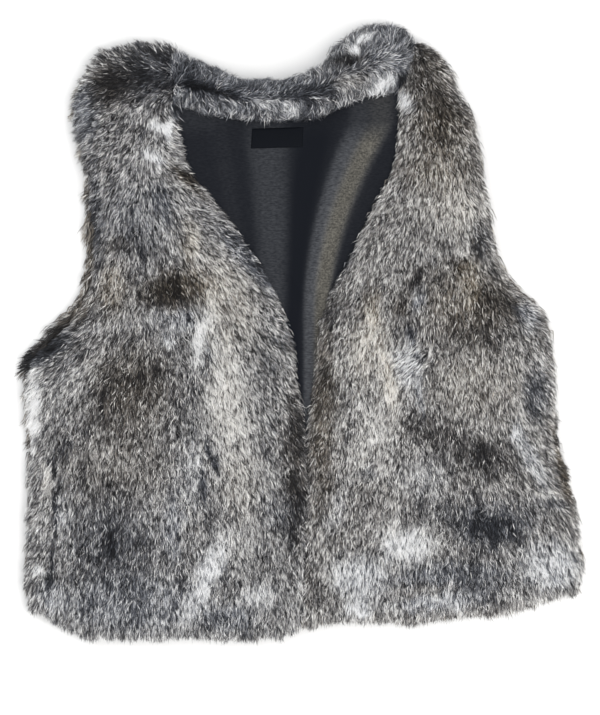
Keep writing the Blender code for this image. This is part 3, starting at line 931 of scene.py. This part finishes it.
def scatter(points, count, weight, rng):
    """Spreads roots over a grid surface, evenly by area times weight, and gives places and normals.

    A cell is drawn from the running total of weighted areas, and a point in it by two random shares.
    """
    normals = surface_normals(points)
    a = points[:-1, :-1]
    b = points[:-1, 1:]
    d = points[1:, :-1]
    area = np.linalg.norm(np.cross(b - a, d - a), axis=2) * weight[:-1, :-1]
    total = np.cumsum(area.ravel())
    draw = (np.arange(count) + rng.random(count)) / count * total[-1]
    cell = np.minimum(np.searchsorted(total, draw), len(total) - 1)
    row = cell // area.shape[1]
    column = cell % area.shape[1]
    u = rng.random((count, 1))
    v = rng.random((count, 1))

    def blend(grid):
        """Blends a grid's four corner values at the two shares."""
        low = grid[row, column] * (1 - u) + grid[row, column + 1] * u
        high = grid[row + 1, column] * (1 - u) + grid[row + 1, column + 1] * u
        return low * (1 - v) + high * v

    return blend(points), unit(blend(normals))


def comb(x, y, strokes):
    """Gives the hair's heading as a vector: the strokes' headings, blended by Gaussian nearness."""
    flow_x = np.zeros_like(x)
    flow_y = np.full_like(y, -1e-4)
    for stroke in strokes:
        at_x, at_y = from_photo(stroke.px, stroke.py)
        reach = stroke.reach * PHOTO_MM
        near = np.exp(-((x - at_x) ** 2 + (y - at_y) ** 2) / (2 * reach ** 2)) / reach
        flow_x += near * np.cos(np.radians(stroke.heading))
        flow_y += near * np.sin(np.radians(stroke.heading))
    return unit(np.stack([flow_x, flow_y], axis=1))


def collar_comb(x, y):
    """Combs the collar away from its ridge, outwards behind it and inwards before it.

    Along the ridge itself the hair runs towards the wearer's left, and soft noise makes it uneven.
    """
    ridge = between(COLLAR, x)
    slope = (between(COLLAR, x + RIDGE_STEP) - ridge) / RIDGE_STEP
    side = np.tanh((y - ridge) / RIDGE_PARTING)
    along = np.exp(-((y - ridge) / RIDGE_WIDTH) ** 2)
    sway = RIDGE_SWAY * smooth_noise(x, y, RIDGE_SWAY_SIZE, seed=31) + RIDGE_RUN * along
    return unit(np.stack([sway, side + RIDGE_RUN * along * slope], axis=1))


def coat_tone(x, y, base, patches):
    """Adds the patches, some of them painted shade and painted shadow, to the panel's base and gives
    paleness and warmth.

    A patch falls off as a power of an ellipse's radius, and noise makes its outline ragged.
    """
    pale = np.full_like(x, base.pale)
    warm = np.full_like(x, base.warm)
    shift_x = RAGGED * smooth_noise(x, y, RAGGED_SIZE, seed=41)
    shift_y = RAGGED * smooth_noise(x, y, RAGGED_SIZE, seed=42)
    x = x + shift_x
    y = y + shift_y
    for patch in patches:
        at_x, at_y = from_photo(patch.px, patch.py)
        cos = np.cos(np.radians(patch.turn))
        sin = np.sin(np.radians(patch.turn))
        across = ((x - at_x) * cos + (y - at_y) * sin) / (patch.reach_x * PHOTO_MM)
        along = ((y - at_y) * cos - (x - at_x) * sin) / (patch.reach_y * PHOTO_MM)
        near = np.exp(-(across ** 2 + along ** 2) ** PATCH_EDGE)
        pale += patch.pale * near
        warm += patch.warm * near
    return pale, warm


def locks(x, y, heading, sizes, reach, seed):
    """Gives the coat's locks, about -1 to 1: soft noise at a few sizes, averaged along the heading."""
    total = np.zeros_like(x)
    for size in sizes:
        for step in np.linspace(-reach, reach, LOCK_STEPS):
            total += smooth_noise(x + step * heading[:, 0], y + step * heading[:, 1], size, seed)
    return LOCK_GAIN * total / (LOCK_STEPS * len(sizes))


def blotches(x, y, heading, seed):
    """Gives the coat's uneven tone: soft noise and locks, with dark partings between the locks.

    It also gives the warmth that goes with them, since the partings show bluish underfur; the partings'
    darkness is partly that underfur and partly painted shade in the gaps between the locks.
    """
    cloud = CLOUD_TONE * smooth_noise(x, y * CLOUD_STRETCH, CLOUD_SIZE, seed + 3)
    lock = locks(x, y, heading, LOCK_SIZES, LOCK_REACH, seed + 4)
    parting = np.clip(-lock - PARTING_FROM, 0, 1)
    return cloud + LOCK_TONE * lock + PARTING_TONE * parting, PARTING_WARM * parting


def tufts(x, y, size, seed):
    """Assigns each root to a tuft: a cell of a square lattice with a shifted centre and its own values."""
    chance = np.random.default_rng(seed).random((TUFT_LATTICE, TUFT_LATTICE, 5))
    bent_x = x / size + TUFT_BEND * smooth_noise(x, y, size * TUFT_BEND_SIZE, seed + 1)
    bent_y = y / size + TUFT_BEND * smooth_noise(x, y, size * TUFT_BEND_SIZE, seed + 2)
    i = np.floor(bent_x).astype(int)
    j = np.floor(bent_y).astype(int)
    own = chance[i % TUFT_LATTICE, j % TUFT_LATTICE]
    centre = np.stack([(i + own[:, 0]) * size, (j + own[:, 1]) * size], axis=1)
    return Tuft(centre, own[:, 2] * 2 - 1, own[:, 3] * 2 - 1, own[:, 4] * 2 - 1)


def shape_strands(root, normal, heading, spread, coat, tuft, seed, rng):
    """Shapes tapered blades and gives their corners, their flow and the places where they show.

    A strand runs from its root along its heading, standing up by the rise, bends at its middle down
    to the lay, and its tip is drawn towards its tuft. At the edges it turns outwards by the spread.
    A spike has two points at the root and one at the tip, and a spindle one at the root, two at the
    middle and one at the tip.
    """
    count = len(root)
    turn = np.radians(coat.wander) * (TUFT_TURN * tuft.turn + OWN_TURN * rng.standard_normal(count))
    cos = np.cos(turn)
    sin = np.sin(turn)
    flow = np.stack([heading[:, 0] * cos - heading[:, 1] * sin,
                     heading[:, 0] * sin + heading[:, 1] * cos,
                     np.zeros(count)], axis=1)
    flow[:, :2] += spread[:, None] * normal[:, :2]
    flow = unit(flow - normal * np.sum(flow * normal, axis=1, keepdims=True))
    length = 1 + LENGTH_SPREAD * (tuft.length + rng.standard_normal(count))
    at_edge = np.linalg.norm(normal[:, :2], axis=1)
    edge_lock = smooth_noise(root[:, 0], root[:, 1], EDGE_LOCK_SIZE, seed + 10)
    length += EDGE_LOCK * np.clip(2 * at_edge, 0, 1) * edge_lock
    if coat.points == SPINDLE:
        length += WISP * np.clip(2 * at_edge - 1, 0, 1) ** 2
    length = coat.length * np.clip(length, *LENGTH_RANGE)[:, None]
    rise = np.radians(coat.rise + RISE_SPREAD * rng.standard_normal(count))[:, None]
    lay = np.radians(coat.lay + LAY_SPREAD * rng.standard_normal(count))[:, None]
    middle = root + ROOT_PART * length * (np.cos(rise) * flow + np.sin(rise) * normal)
    tip = middle + TIP_PART * length * (np.cos(lay) * flow + np.sin(lay) * normal)
    gather = tuft.centre + flow[:, :2] * length
    tip[:, :2] += coat.pull * np.clip(gather - tip[:, :2], -coat.tuft, coat.tuft)
    middle += CRIMP * length * rng.standard_normal((count, 1)) * np.cross(flow, normal)
    droop = (1 - normal[:, 2:]) * length
    middle[:, 2:] -= MIDDLE_DROOP * droop
    tip[:, 2:] -= TIP_DROOP * droop
    flat = LEAST_HEIGHT + PRESSED_SPREAD * rng.random((count, 1))
    middle[:, 2:] = np.maximum(middle[:, 2:], flat)
    tip[:, 2:] = np.maximum(tip[:, 2:], PRESSED_TIP * flat)
    twist = np.radians(TWIST) * rng.standard_normal(count)[:, None]
    side = np.cos(twist) * unit(np.cross(flow, normal)) + np.sin(twist) * normal
    half = 0.5 * coat.width * np.clip(1 + WIDTH_SPREAD * rng.standard_normal(count), *WIDTH_RANGE)[:, None]
    if coat.points == SPIKE:
        corners = np.stack([root - half * side, root + half * side, tip], axis=1)
    else:
        corners = np.stack([root, middle - half * side, middle + half * side, tip], axis=1)
    corners[:, :, 2] = np.maximum(corners[:, :, 2], LEAST_HEIGHT)
    return corners, flow, middle + SHOWN * (tip - middle)


def tone_strands(shown, flow, coat, base, patches, tuft, lock_seed, rng):
    """Gives each strand's tone and warmth: its patches and locks, spread more widely in pale fur."""
    count = len(shown)
    feather = FEATHER * (tuft.length + OWN_FEATHER * rng.standard_normal(count))
    read_x = shown[:, 0] + feather * flow[:, 0]
    read_y = shown[:, 1] + feather * flow[:, 1]
    pale, warm = coat_tone(read_x, read_y, base, patches)
    uneven, tint = blotches(shown[:, 0], shown[:, 1], flow, lock_seed)
    fine = locks(shown[:, 0], shown[:, 1], flow, FINE_SIZES, FINE_REACH, lock_seed + 8)
    pale = pale + uneven
    warm = warm + tint
    mixed = DARK_SPREAD + (PALE_SPREAD - DARK_SPREAD) * np.clip(pale, 0, 1)
    tone = pale + coat.shift + TUFT_TONE * tuft.tone
    tone = tone + mixed * (FINE_TONE * fine + coat.spread * rng.standard_normal(count))
    return tone, 0.5 + 0.5 * warm + WARM_SPREAD * rng.standard_normal(count)


def grow(name, root, normal, heading, spread, coat, base, patches, material, bake, seed, lock_seed):
    """Grows a coat of strands as one mesh, with the strands in the order of their tone.

    Each strand carries its tone, its warmth, the place along it and a tick, which says if its tip is dark.
    """
    rng = np.random.default_rng(seed)
    tuft = tufts(root[:, 0], root[:, 1], coat.tuft, seed + 7)
    corners, flow, shown = shape_strands(root, normal, heading, spread, coat, tuft, seed, rng)
    tone, warm = tone_strands(shown, flow, coat, base, patches, tuft, lock_seed, rng)
    unticked = np.clip(UNTICKED_GAIN * tone - UNTICKED_START, 0, 1)
    values = np.empty((len(root), coat.points, 4), dtype=np.float32)
    values[:, :, 0] = np.clip(tone, 0, WHITEST)[:, None]
    values[:, :, 1] = np.clip(warm, 0, 1)[:, None]
    values[:, :, 2] = BLADE_ALONG[coat.points]
    values[:, :, 3] = np.maximum(rng.random(len(root)), unticked)[:, None]
    order = np.argsort(tone)
    return strand_mesh(name, corners[order], values[order], material, bake)


def strand_mesh(name, corners, values, material, bake):
    """Joins blades into one mesh of triangles, with each blade's values and its cell in the bake."""
    count, points, _ = corners.shape
    corner_of = np.array(BLADE_CORNERS[points], dtype=np.int32)
    loops = np.arange(count, dtype=np.int32)[:, None] * points + corner_of[None, :]
    cell = np.stack([np.arange(count) % bake, np.arange(count) // bake], axis=1)[:, None, :]
    cell_place = np.array(BLADE_CELL[points])
    grid = np.array([bake, bake / CELL_HEIGHT])
    places = (cell + cell_place[corner_of][None, :, :]) / grid
    piece = make_mesh(name, corners.reshape(-1, 3), loops.reshape(-1, 3), material)
    mesh = piece.data
    coat = mesh.attributes.new("coat", "FLOAT_COLOR", "POINT")
    coat.data.foreach_set("color", values.ravel())
    mesh.uv_layers.new(name="OFBake").data.foreach_set("uv", places.astype(np.float32).ravel())
    return piece


def add_node(tree, kind, **settings):
    """Adds a shader node and sets its own values."""
    node = tree.nodes.new(kind)
    for key, value in settings.items():
        setattr(node, key, value)
    return node


def ramp(tree, stops, source):
    """Adds a colour ramp with the given stops, fed from a socket."""
    node = add_node(tree, "ShaderNodeValToRGB")
    elements = node.color_ramp.elements
    while len(elements) < len(stops):
        elements.new(0.5)
    for element, (place, colour) in zip(elements, stops):
        element.position = place
        element.color = (*colour, 1.0)
    tree.links.new(source, node.inputs[0])
    return node.outputs[0]


def math(tree, operation, first, second):
    """Adds a maths node on two inputs, each a socket or a number."""
    node = add_node(tree, "ShaderNodeMath", operation=operation)
    for socket, value in zip(node.inputs, (first, second)):
        if hasattr(value, "is_output"):
            tree.links.new(value, socket)
        else:
            socket.default_value = value
    return node.outputs[0]


def mix(tree, blend, factor, first, second):
    """Adds a colour mix, its inputs sockets, numbers or colours."""
    node = add_node(tree, "ShaderNodeMix", data_type="RGBA", blend_type=blend)
    for socket, value in ((node.inputs[0], factor), (node.inputs[6], first), (node.inputs[7], second)):
        if hasattr(value, "is_output"):
            tree.links.new(value, socket)
        elif isinstance(value, tuple):
            socket.default_value = (*value, 1.0)
        else:
            socket.default_value = value
    return node.outputs[2]


# Colours of a strand by its tone, and its shade from root to tip
COOL_COAT = [
    (0.00, (0.010, 0.011, 0.014)),
    (0.30, (0.046, 0.051, 0.064)),
    (0.55, (0.178, 0.190, 0.220)),
    (0.80, (0.455, 0.475, 0.515)),
    (1.00, (0.945, 0.950, 0.960)),
]
WARM_COAT = [
    (0.00, (0.012, 0.010, 0.009)),
    (0.30, (0.066, 0.053, 0.038)),
    (0.55, (0.238, 0.198, 0.150)),
    (0.80, (0.540, 0.480, 0.395)),
    (1.00, (0.950, 0.920, 0.860)),
]
CLEAR = (1.0, 1.0, 1.0)
ROOT_SHADE = [(0.00, (0.22, 0.22, 0.24)), (0.45, (0.80, 0.79, 0.78)), (0.62, CLEAR), (1.00, CLEAR)]
TIP_SHADE = [(0.00, CLEAR), (0.62, CLEAR), (1.00, (0.22, 0.21, 0.20))]
TICKED_SHARE = 0.38
SHADE_END = 1.4
SHADE_GAIN = 2.0

# The dark and the light of the dense underfur
UNDERFUR = ((0.030, 0.028, 0.027), (0.085, 0.080, 0.076))
COLLAR_UNDERFUR = ((0.030, 0.031, 0.036), (0.090, 0.092, 0.102))

# The satin's dark colour, also its painted shade, and its colour in painted light, the tint of its olive
# band, a painted gold reflection, and its grain and painted sparkle: a start and a gain on their noise
SATIN_SHADOW = (0.0060, 0.0072, 0.0105)
SATIN_BRIGHT = (0.110, 0.115, 0.126)
PAINTED_OLIVE_REFLECTION = (1.20, 1.07, 0.80)
GRAIN = (-0.35, 2.7)
SPARKLE = (-2.6, 5.8)
LABEL_RIBS = [(0.0, (0.0015, 0.0021, 0.0036)), (1.0, (0.0052, 0.0067, 0.0104))]


def pelt_group():
    """Builds the shade of a strand: its tone between two colour ramps, dark at the root.

    Some strands have dark tips, and the whitest are pale down to the root.
    """
    tree = bpy.data.node_groups.new("pelt_shade", "ShaderNodeTree")
    for name in ("Tone", "Warm", "Along", "Tick"):
        tree.interface.new_socket(name, in_out="INPUT", socket_type="NodeSocketFloat")
    tree.interface.new_socket("Color", in_out="OUTPUT", socket_type="NodeSocketColor")
    entry = add_node(tree, "NodeGroupInput")
    leave = add_node(tree, "NodeGroupOutput")
    cool = ramp(tree, COOL_COAT, entry.outputs["Tone"])
    warm = ramp(tree, WARM_COAT, entry.outputs["Tone"])
    colour = mix(tree, "MIX", entry.outputs["Warm"], cool, warm)
    root = ramp(tree, ROOT_SHADE, entry.outputs["Along"])
    depth = math(tree, "SUBTRACT", SHADE_END, entry.outputs["Tone"])
    depth = math(tree, "MULTIPLY", depth, SHADE_GAIN)
    depth = math(tree, "MAXIMUM", math(tree, "MINIMUM", depth, 1.0), 0.0)
    colour = mix(tree, "MULTIPLY", depth, colour, root)
    tip = ramp(tree, TIP_SHADE, entry.outputs["Along"])
    ticked = math(tree, "MULTIPLY", depth, math(tree, "LESS_THAN", entry.outputs["Tick"], TICKED_SHARE))
    colour = mix(tree, "MULTIPLY", ticked, colour, tip)
    tree.links.new(colour, leave.inputs["Color"])
    return tree


def new_material(name, roughness, specular):
    """Makes a material with a Principled shader and gives it with its tree."""
    material = bpy.data.materials.new(name)
    material.use_nodes = True
    tree = material.node_tree
    shader = tree.nodes["Principled BSDF"]
    shader.inputs["Roughness"].default_value = roughness
    shader.inputs["Specular IOR Level"].default_value = specular
    return material, tree, shader


def texture(tree, kind, vector, inputs, **settings):
    """Adds a texture with its input values, fed from a place, and gives its grey value."""
    node = add_node(tree, kind, **settings)
    for name, value in inputs.items():
        node.inputs[name].default_value = value
    tree.links.new(vector, node.inputs["Vector"])
    return node.outputs["Fac"]


def add_bump(tree, shader, height, strength, distance):
    """Gives a shader a bump, its distance in metres."""
    bump = add_node(tree, "ShaderNodeBump")
    bump.inputs["Strength"].default_value = strength
    bump.inputs["Distance"].default_value = distance
    tree.links.new(height, bump.inputs["Height"])
    tree.links.new(bump.outputs[0], shader.inputs["Normal"])


def fur_material(name, group):
    """Makes the strands' finish from the coat values that each strand carries."""
    material, tree, shader = new_material(name, roughness=0.55, specular=0.30)
    values = add_node(tree, "ShaderNodeAttribute", attribute_name="coat")
    parts = add_node(tree, "ShaderNodeSeparateColor")
    shade = add_node(tree, "ShaderNodeGroup", node_tree=group)
    tree.links.new(values.outputs["Color"], parts.inputs[0])
    tree.links.new(parts.outputs[0], shade.inputs["Tone"])
    tree.links.new(parts.outputs[1], shade.inputs["Warm"])
    tree.links.new(parts.outputs[2], shade.inputs["Along"])
    tree.links.new(values.outputs["Alpha"], shade.inputs["Tick"])
    tree.links.new(shade.outputs[0], shader.inputs["Base Color"])
    return material


def skin_material(name, dark, light):
    """Makes the dense underfur: two tones in soft noise, with a fine matted bump."""
    material, tree, shader = new_material(name, roughness=0.85, specular=0.15)
    place = add_node(tree, "ShaderNodeTexCoord").outputs["Object"]
    noise = texture(tree, "ShaderNodeTexNoise", place, {"Scale": 260.0, "Detail": 5.0})
    tree.links.new(ramp(tree, [(0.3, dark), (0.7, light)], noise), shader.inputs["Base Color"])
    add_bump(tree, shader, noise, strength=0.6, distance=0.001)
    return material


def satin_material():
    """Makes the lining's satin: near black, with bands of painted sheen and painted shade, a painted olive
    reflection and a fine weave.
    """
    material, tree, shader = new_material("lining_satin", roughness=0.50, specular=0.04)
    values = add_node(tree, "ShaderNodeAttribute", attribute_name="painted_sheen")
    parts = add_node(tree, "ShaderNodeSeparateColor")
    tree.links.new(values.outputs["Color"], parts.inputs[0])
    place = add_node(tree, "ShaderNodeTexCoord").outputs["Object"]
    stretch = add_node(tree, "ShaderNodeMapping")
    stretch.inputs["Scale"].default_value = (0.35, 1.0, 1.0)
    tree.links.new(place, stretch.inputs["Vector"])
    streak = texture(tree, "ShaderNodeTexNoise", stretch.outputs[0], {"Scale": 800.0, "Detail": 4.0})
    fleck = texture(tree, "ShaderNodeTexNoise", place, {"Scale": 620.0, "Detail": 3.0})
    # The weave's grain, with painted glints that sparkle in the olive band
    woven = math(tree, "ADD", GRAIN[0], math(tree, "MULTIPLY", streak, GRAIN[1]))
    sparkle = math(tree, "ADD", SPARKLE[0], math(tree, "MULTIPLY", fleck, SPARKLE[1]))
    sparkle = math(tree, "MAXIMUM", 0.0, sparkle)
    grain = math(tree, "ADD", woven, math(tree, "MULTIPLY", parts.outputs[1], sparkle))
    light = math(tree, "MULTIPLY", parts.outputs[0], grain)
    # The base colour: the satin's dark and its painted light mixed by the painted sheen, tinted by the
    # painted olive reflection
    grey = mix(tree, "MIX", light, SATIN_SHADOW, SATIN_BRIGHT)
    olive = mix(tree, "MULTIPLY", parts.outputs[1], grey, PAINTED_OLIVE_REFLECTION)
    tree.links.new(olive, shader.inputs["Base Color"])
    weave = texture(tree, "ShaderNodeTexWave", place, {"Scale": 900.0}, bands_direction="DIAGONAL")
    add_bump(tree, shader, weave, strength=0.12, distance=0.0002)
    return material


def label_material():
    """Makes the label's black weave with fine crosswise ribs."""
    material, tree, shader = new_material("label_weave", roughness=0.70, specular=0.08)
    place = add_node(tree, "ShaderNodeTexCoord").outputs["Object"]
    inputs = {"Scale": 320.0, "Distortion": 0.4}
    ribs = texture(tree, "ShaderNodeTexWave", place, inputs, bands_direction="Y")
    tree.links.new(ramp(tree, LABEL_RIBS, ribs), shader.inputs["Base Color"])
    add_bump(tree, shader, ribs, strength=0.5, distance=0.0003)
    return material


def carry(piece, slot, *nodes):
    """Rides a piece on the one body and hides the nodes that it stands in for; its slot is not used."""
    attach(piece, BODY)
    if nodes:
        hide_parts(*nodes)


def make_front(node, sections, strokes, patches, materials, seed):
    """Makes one front: its skin, a soft undercoat, a topcoat and thin guard hairs."""
    points = front_skin(node, sections)
    centre_side = np.sign(sections[0].inner_x - sections[0].outer_x)
    skin = make_grid(node + "_skin", points, materials["underfur"])
    thicken(skin, SKIN_WALL)
    carry(skin, "fur", node)
    even = np.ones(points.shape[:2])
    kinds = (("undercoat", UNDERCOAT, 1), ("topcoat", TOPCOAT, 2), ("guard_hairs", GUARD_HAIRS, 3))
    for name, coat, step in kinds:
        rng = np.random.default_rng(seed + step)
        root, normal = scatter(points, coat.strands, even, rng)
        heading = comb(root[:, 0], root[:, 1], strokes)
        to_centre = np.clip(2 * normal[:, 0] * centre_side, 0, 1)
        spread = EDGE_SPREAD + (CENTRE_SPREAD - EDGE_SPREAD) * to_centre
        piece = grow(f"{node}_{name}", root, normal, heading, spread, coat, BASES[node], patches,
                     materials["fur"], BIG_BAKE, seed + step, lock_seed=seed)
        carry(piece, "fur")


def make_back(materials):
    """Makes the back: its skin and the fur at its edges and pressed flat under it."""
    points = back_skin()
    skin = make_grid("back_skin", points, materials["underfur"], closed=True)
    carry(skin, "fur", "back")
    looped = np.concatenate([points, points[:, :1]], axis=1)
    normals = surface_normals(looped)
    x = looped[:, :, 0]
    y = looped[:, :, 1]
    v = np.linspace(0, 1, len(points))[:, None]
    middle_x = 0.5 * (x.max(axis=1, keepdims=True) + x.min(axis=1, keepdims=True))
    half = 0.5 * (x.max(axis=1, keepdims=True) - x.min(axis=1, keepdims=True))
    to_side = half - np.abs(x - middle_x)
    to_end = np.minimum(v, 1 - v) * (y.max() - y.min())
    to_edge = np.minimum(to_side, to_end)
    rim = np.exp(-(to_edge / BACK_RIM_DEPTH) ** 2)
    under = np.where(normals[:, :, 2] > BACK_UPWARD, 0.0, 1.0) * (to_edge > MAT_INSET)
    for name, coat, weight, seed in (("rim", BACK_RIM_COAT, rim, 77), ("mat", BACK_MAT_COAT, under, 87)):
        root, normal = scatter(looped, coat.strands, weight, np.random.default_rng(seed))
        heading = comb(root[:, 0], root[:, 1], RIGHT_FRONT_STROKES + LEFT_FRONT_STROKES)
        spread = np.full(len(root), EDGE_SPREAD)
        piece = grow(f"back_{name}_fur", root, normal, heading, spread, coat, BASES["back"], BACK_PATCHES,
                     materials["fur"], BIG_BAKE, seed + 1, lock_seed=71)
        carry(piece, "fur")


def make_collar(materials):
    """Makes the collar: its arched skin and tousled fur."""
    points = collar_skin()
    skin = make_grid("collar_skin", points, materials["collar_underfur"])
    thicken(skin, SKIN_WALL)
    carry(skin, "collar_fur", "collar")
    even = np.ones(points.shape[:2])
    for name, coat, seed in (("fur", COLLAR_COAT, 91), ("guard_hairs", COLLAR_GUARD_HAIRS, 95)):
        root, normal = scatter(points, coat.strands, even, np.random.default_rng(seed))
        heading = collar_comb(root[:, 0], root[:, 1])
        spread = np.full(len(root), EDGE_SPREAD)
        piece = grow(f"collar_{name}", root, normal, heading, spread, coat, BASES["collar"], COLLAR_PATCHES,
                     materials["collar_fur"], SMALL_BAKE, seed + 1, lock_seed=93)
        carry(piece, "collar_fur")


def make_lining(material):
    """Makes the satin lining with the painted sheen, painted shade and painted olive reflection of each
    band as its own values.
    """
    points = lining_surface()
    piece = make_grid("lining_satin", points, material)
    x = points[:, :, 0]
    y = points[:, :, 1]
    neck_y = from_photo(0, SHEEN_NECK_PY)[1]
    point_y = from_photo(0, SHEEN_POINT_PY)[1]
    along = np.clip((y - point_y) / (neck_y - point_y), 0, 1)
    # Painted light at the neck, on top of the satin's own level
    glow_x, glow_y = from_photo(NECK_GLOW_PX, NECK_GLOW_PY)
    glow = ((x - glow_x) / NECK_GLOW_REACH[0]) ** 2 + ((y - glow_y) / NECK_GLOW_REACH[1]) ** 2
    light = SATIN_LIGHT + PAINTED_NECK_LIGHT * np.exp(-glow)
    olive = np.zeros_like(x)
    # The collar's painted shadow fades the painted bands out near the neck
    fade = np.clip((COLLAR_SHADOW_FADE[0] - along) / COLLAR_SHADOW_FADE[1], 0, 1)
    # Each band adds its painted sheen, painted shade and painted olive reflection to the light and the
    # olive
    for painted_sheen in PAINTED_SHEENS:
        px = painted_sheen.px_point + (painted_sheen.px_neck - painted_sheen.px_point) * along ** 2
        centre = from_photo(px, 0)[0]
        half = painted_sheen.half_width * PHOTO_MM * (SHEEN_NARROWEST + (1 - SHEEN_NARROWEST) * along)
        near = fade * np.exp(-((x - centre) / half) ** 4)
        light += painted_sheen.light * near
        olive += painted_sheen.olive * near
    values = np.zeros((x.size, 4), dtype=np.float32)
    values[:, 0] = np.clip(light, 0, 1).ravel()
    values[:, 1] = np.clip(olive, 0, 1).ravel()
    values[:, 3] = 1.0
    attribute = piece.data.attributes.new("painted_sheen", "FLOAT_COLOR", "POINT")
    attribute.data.foreach_set("color", values.ravel())
    thicken(piece, LINING_WALL)
    carry(piece, "lining_satin", "lining_back")
    return piece


def make_label(material, lining):
    """Makes the bare label as a thin woven strip."""
    piece = make_grid("neck_label_strip", label_surface(), material)
    thicken(piece, LABEL_WALL)
    carry(piece, "label_weave", "neck_label")


def area_light(light):
    """Adds a square soft light that faces the origin."""
    data = bpy.data.lights.new(light.name, "AREA")
    data.shape = "SQUARE"
    data.size = light.size
    data.energy = light.power
    data.color = light.colour
    lamp = bpy.data.objects.new(light.name, data)
    lamp.location = light.place
    lamp.rotation_euler = (-Vector(light.place)).to_track_quat("-Z", "Y").to_euler()
    bpy.context.scene.collection.objects.link(lamp)


def make_stage():
    """Makes the pale floor, the soft studio light and the camera above the gilet."""
    scene = bpy.context.scene
    material, _, shader = new_material("floor_pale", roughness=0.9, specular=0.1)
    shader.inputs["Base Color"].default_value = FLOOR_COLOUR
    corners = FLOOR_REACH * np.array([[-1, -1, 0], [1, -1, 0], [1, 1, 0], [-1, 1, 0]])
    floor = make_mesh("floor", corners, np.array([[0, 1, 2, 3]]), material)
    world = bpy.data.worlds.new("studio")
    world.use_nodes = True
    sky = world.node_tree.nodes["Background"]
    sky.inputs["Color"].default_value = SKY_COLOUR
    sky.inputs["Strength"].default_value = SKY_STRENGTH
    scene.world = world
    for light in LIGHTS:
        area_light(light)
    view_plane = FRONT_FLOOR + VIEW_RISE
    centre_x, centre_y = from_photo(PHOTO_WIDTH / 2, PHOTO_HEIGHT / 2)
    data = bpy.data.cameras.new("camera")
    data.sensor_fit = "VERTICAL"
    data.sensor_height = CAMERA_SENSOR
    data.lens = (CAMERA_HEIGHT - view_plane * MM) * data.sensor_height / (PHOTO_HEIGHT * PHOTO_MM * MM)
    camera = bpy.data.objects.new("camera", data)
    camera.location = (centre_x * MM, centre_y * MM, CAMERA_HEIGHT)
    scene.collection.objects.link(camera)
    scene.camera = camera
    scene.view_settings.view_transform = "Standard"


group = pelt_group()
materials = {
    "fur": fur_material("fur_strands", group),
    "collar_fur": fur_material("collar_strands", group),
    "underfur": skin_material("fur_underfur", *UNDERFUR),
    "collar_underfur": skin_material("collar_underfur", *COLLAR_UNDERFUR),
    "satin": satin_material(),
    "label": label_material(),
}
make_back(materials)
make_front("front_right", RIGHT_FRONT, RIGHT_FRONT_STROKES, RIGHT_FRONT_PATCHES, materials, seed=100)
make_front("front_left", LEFT_FRONT, LEFT_FRONT_STROKES, LEFT_FRONT_PATCHES, materials, seed=200)
make_collar(materials)
make_label(materials["label"], make_lining(materials["satin"]))
make_stage()
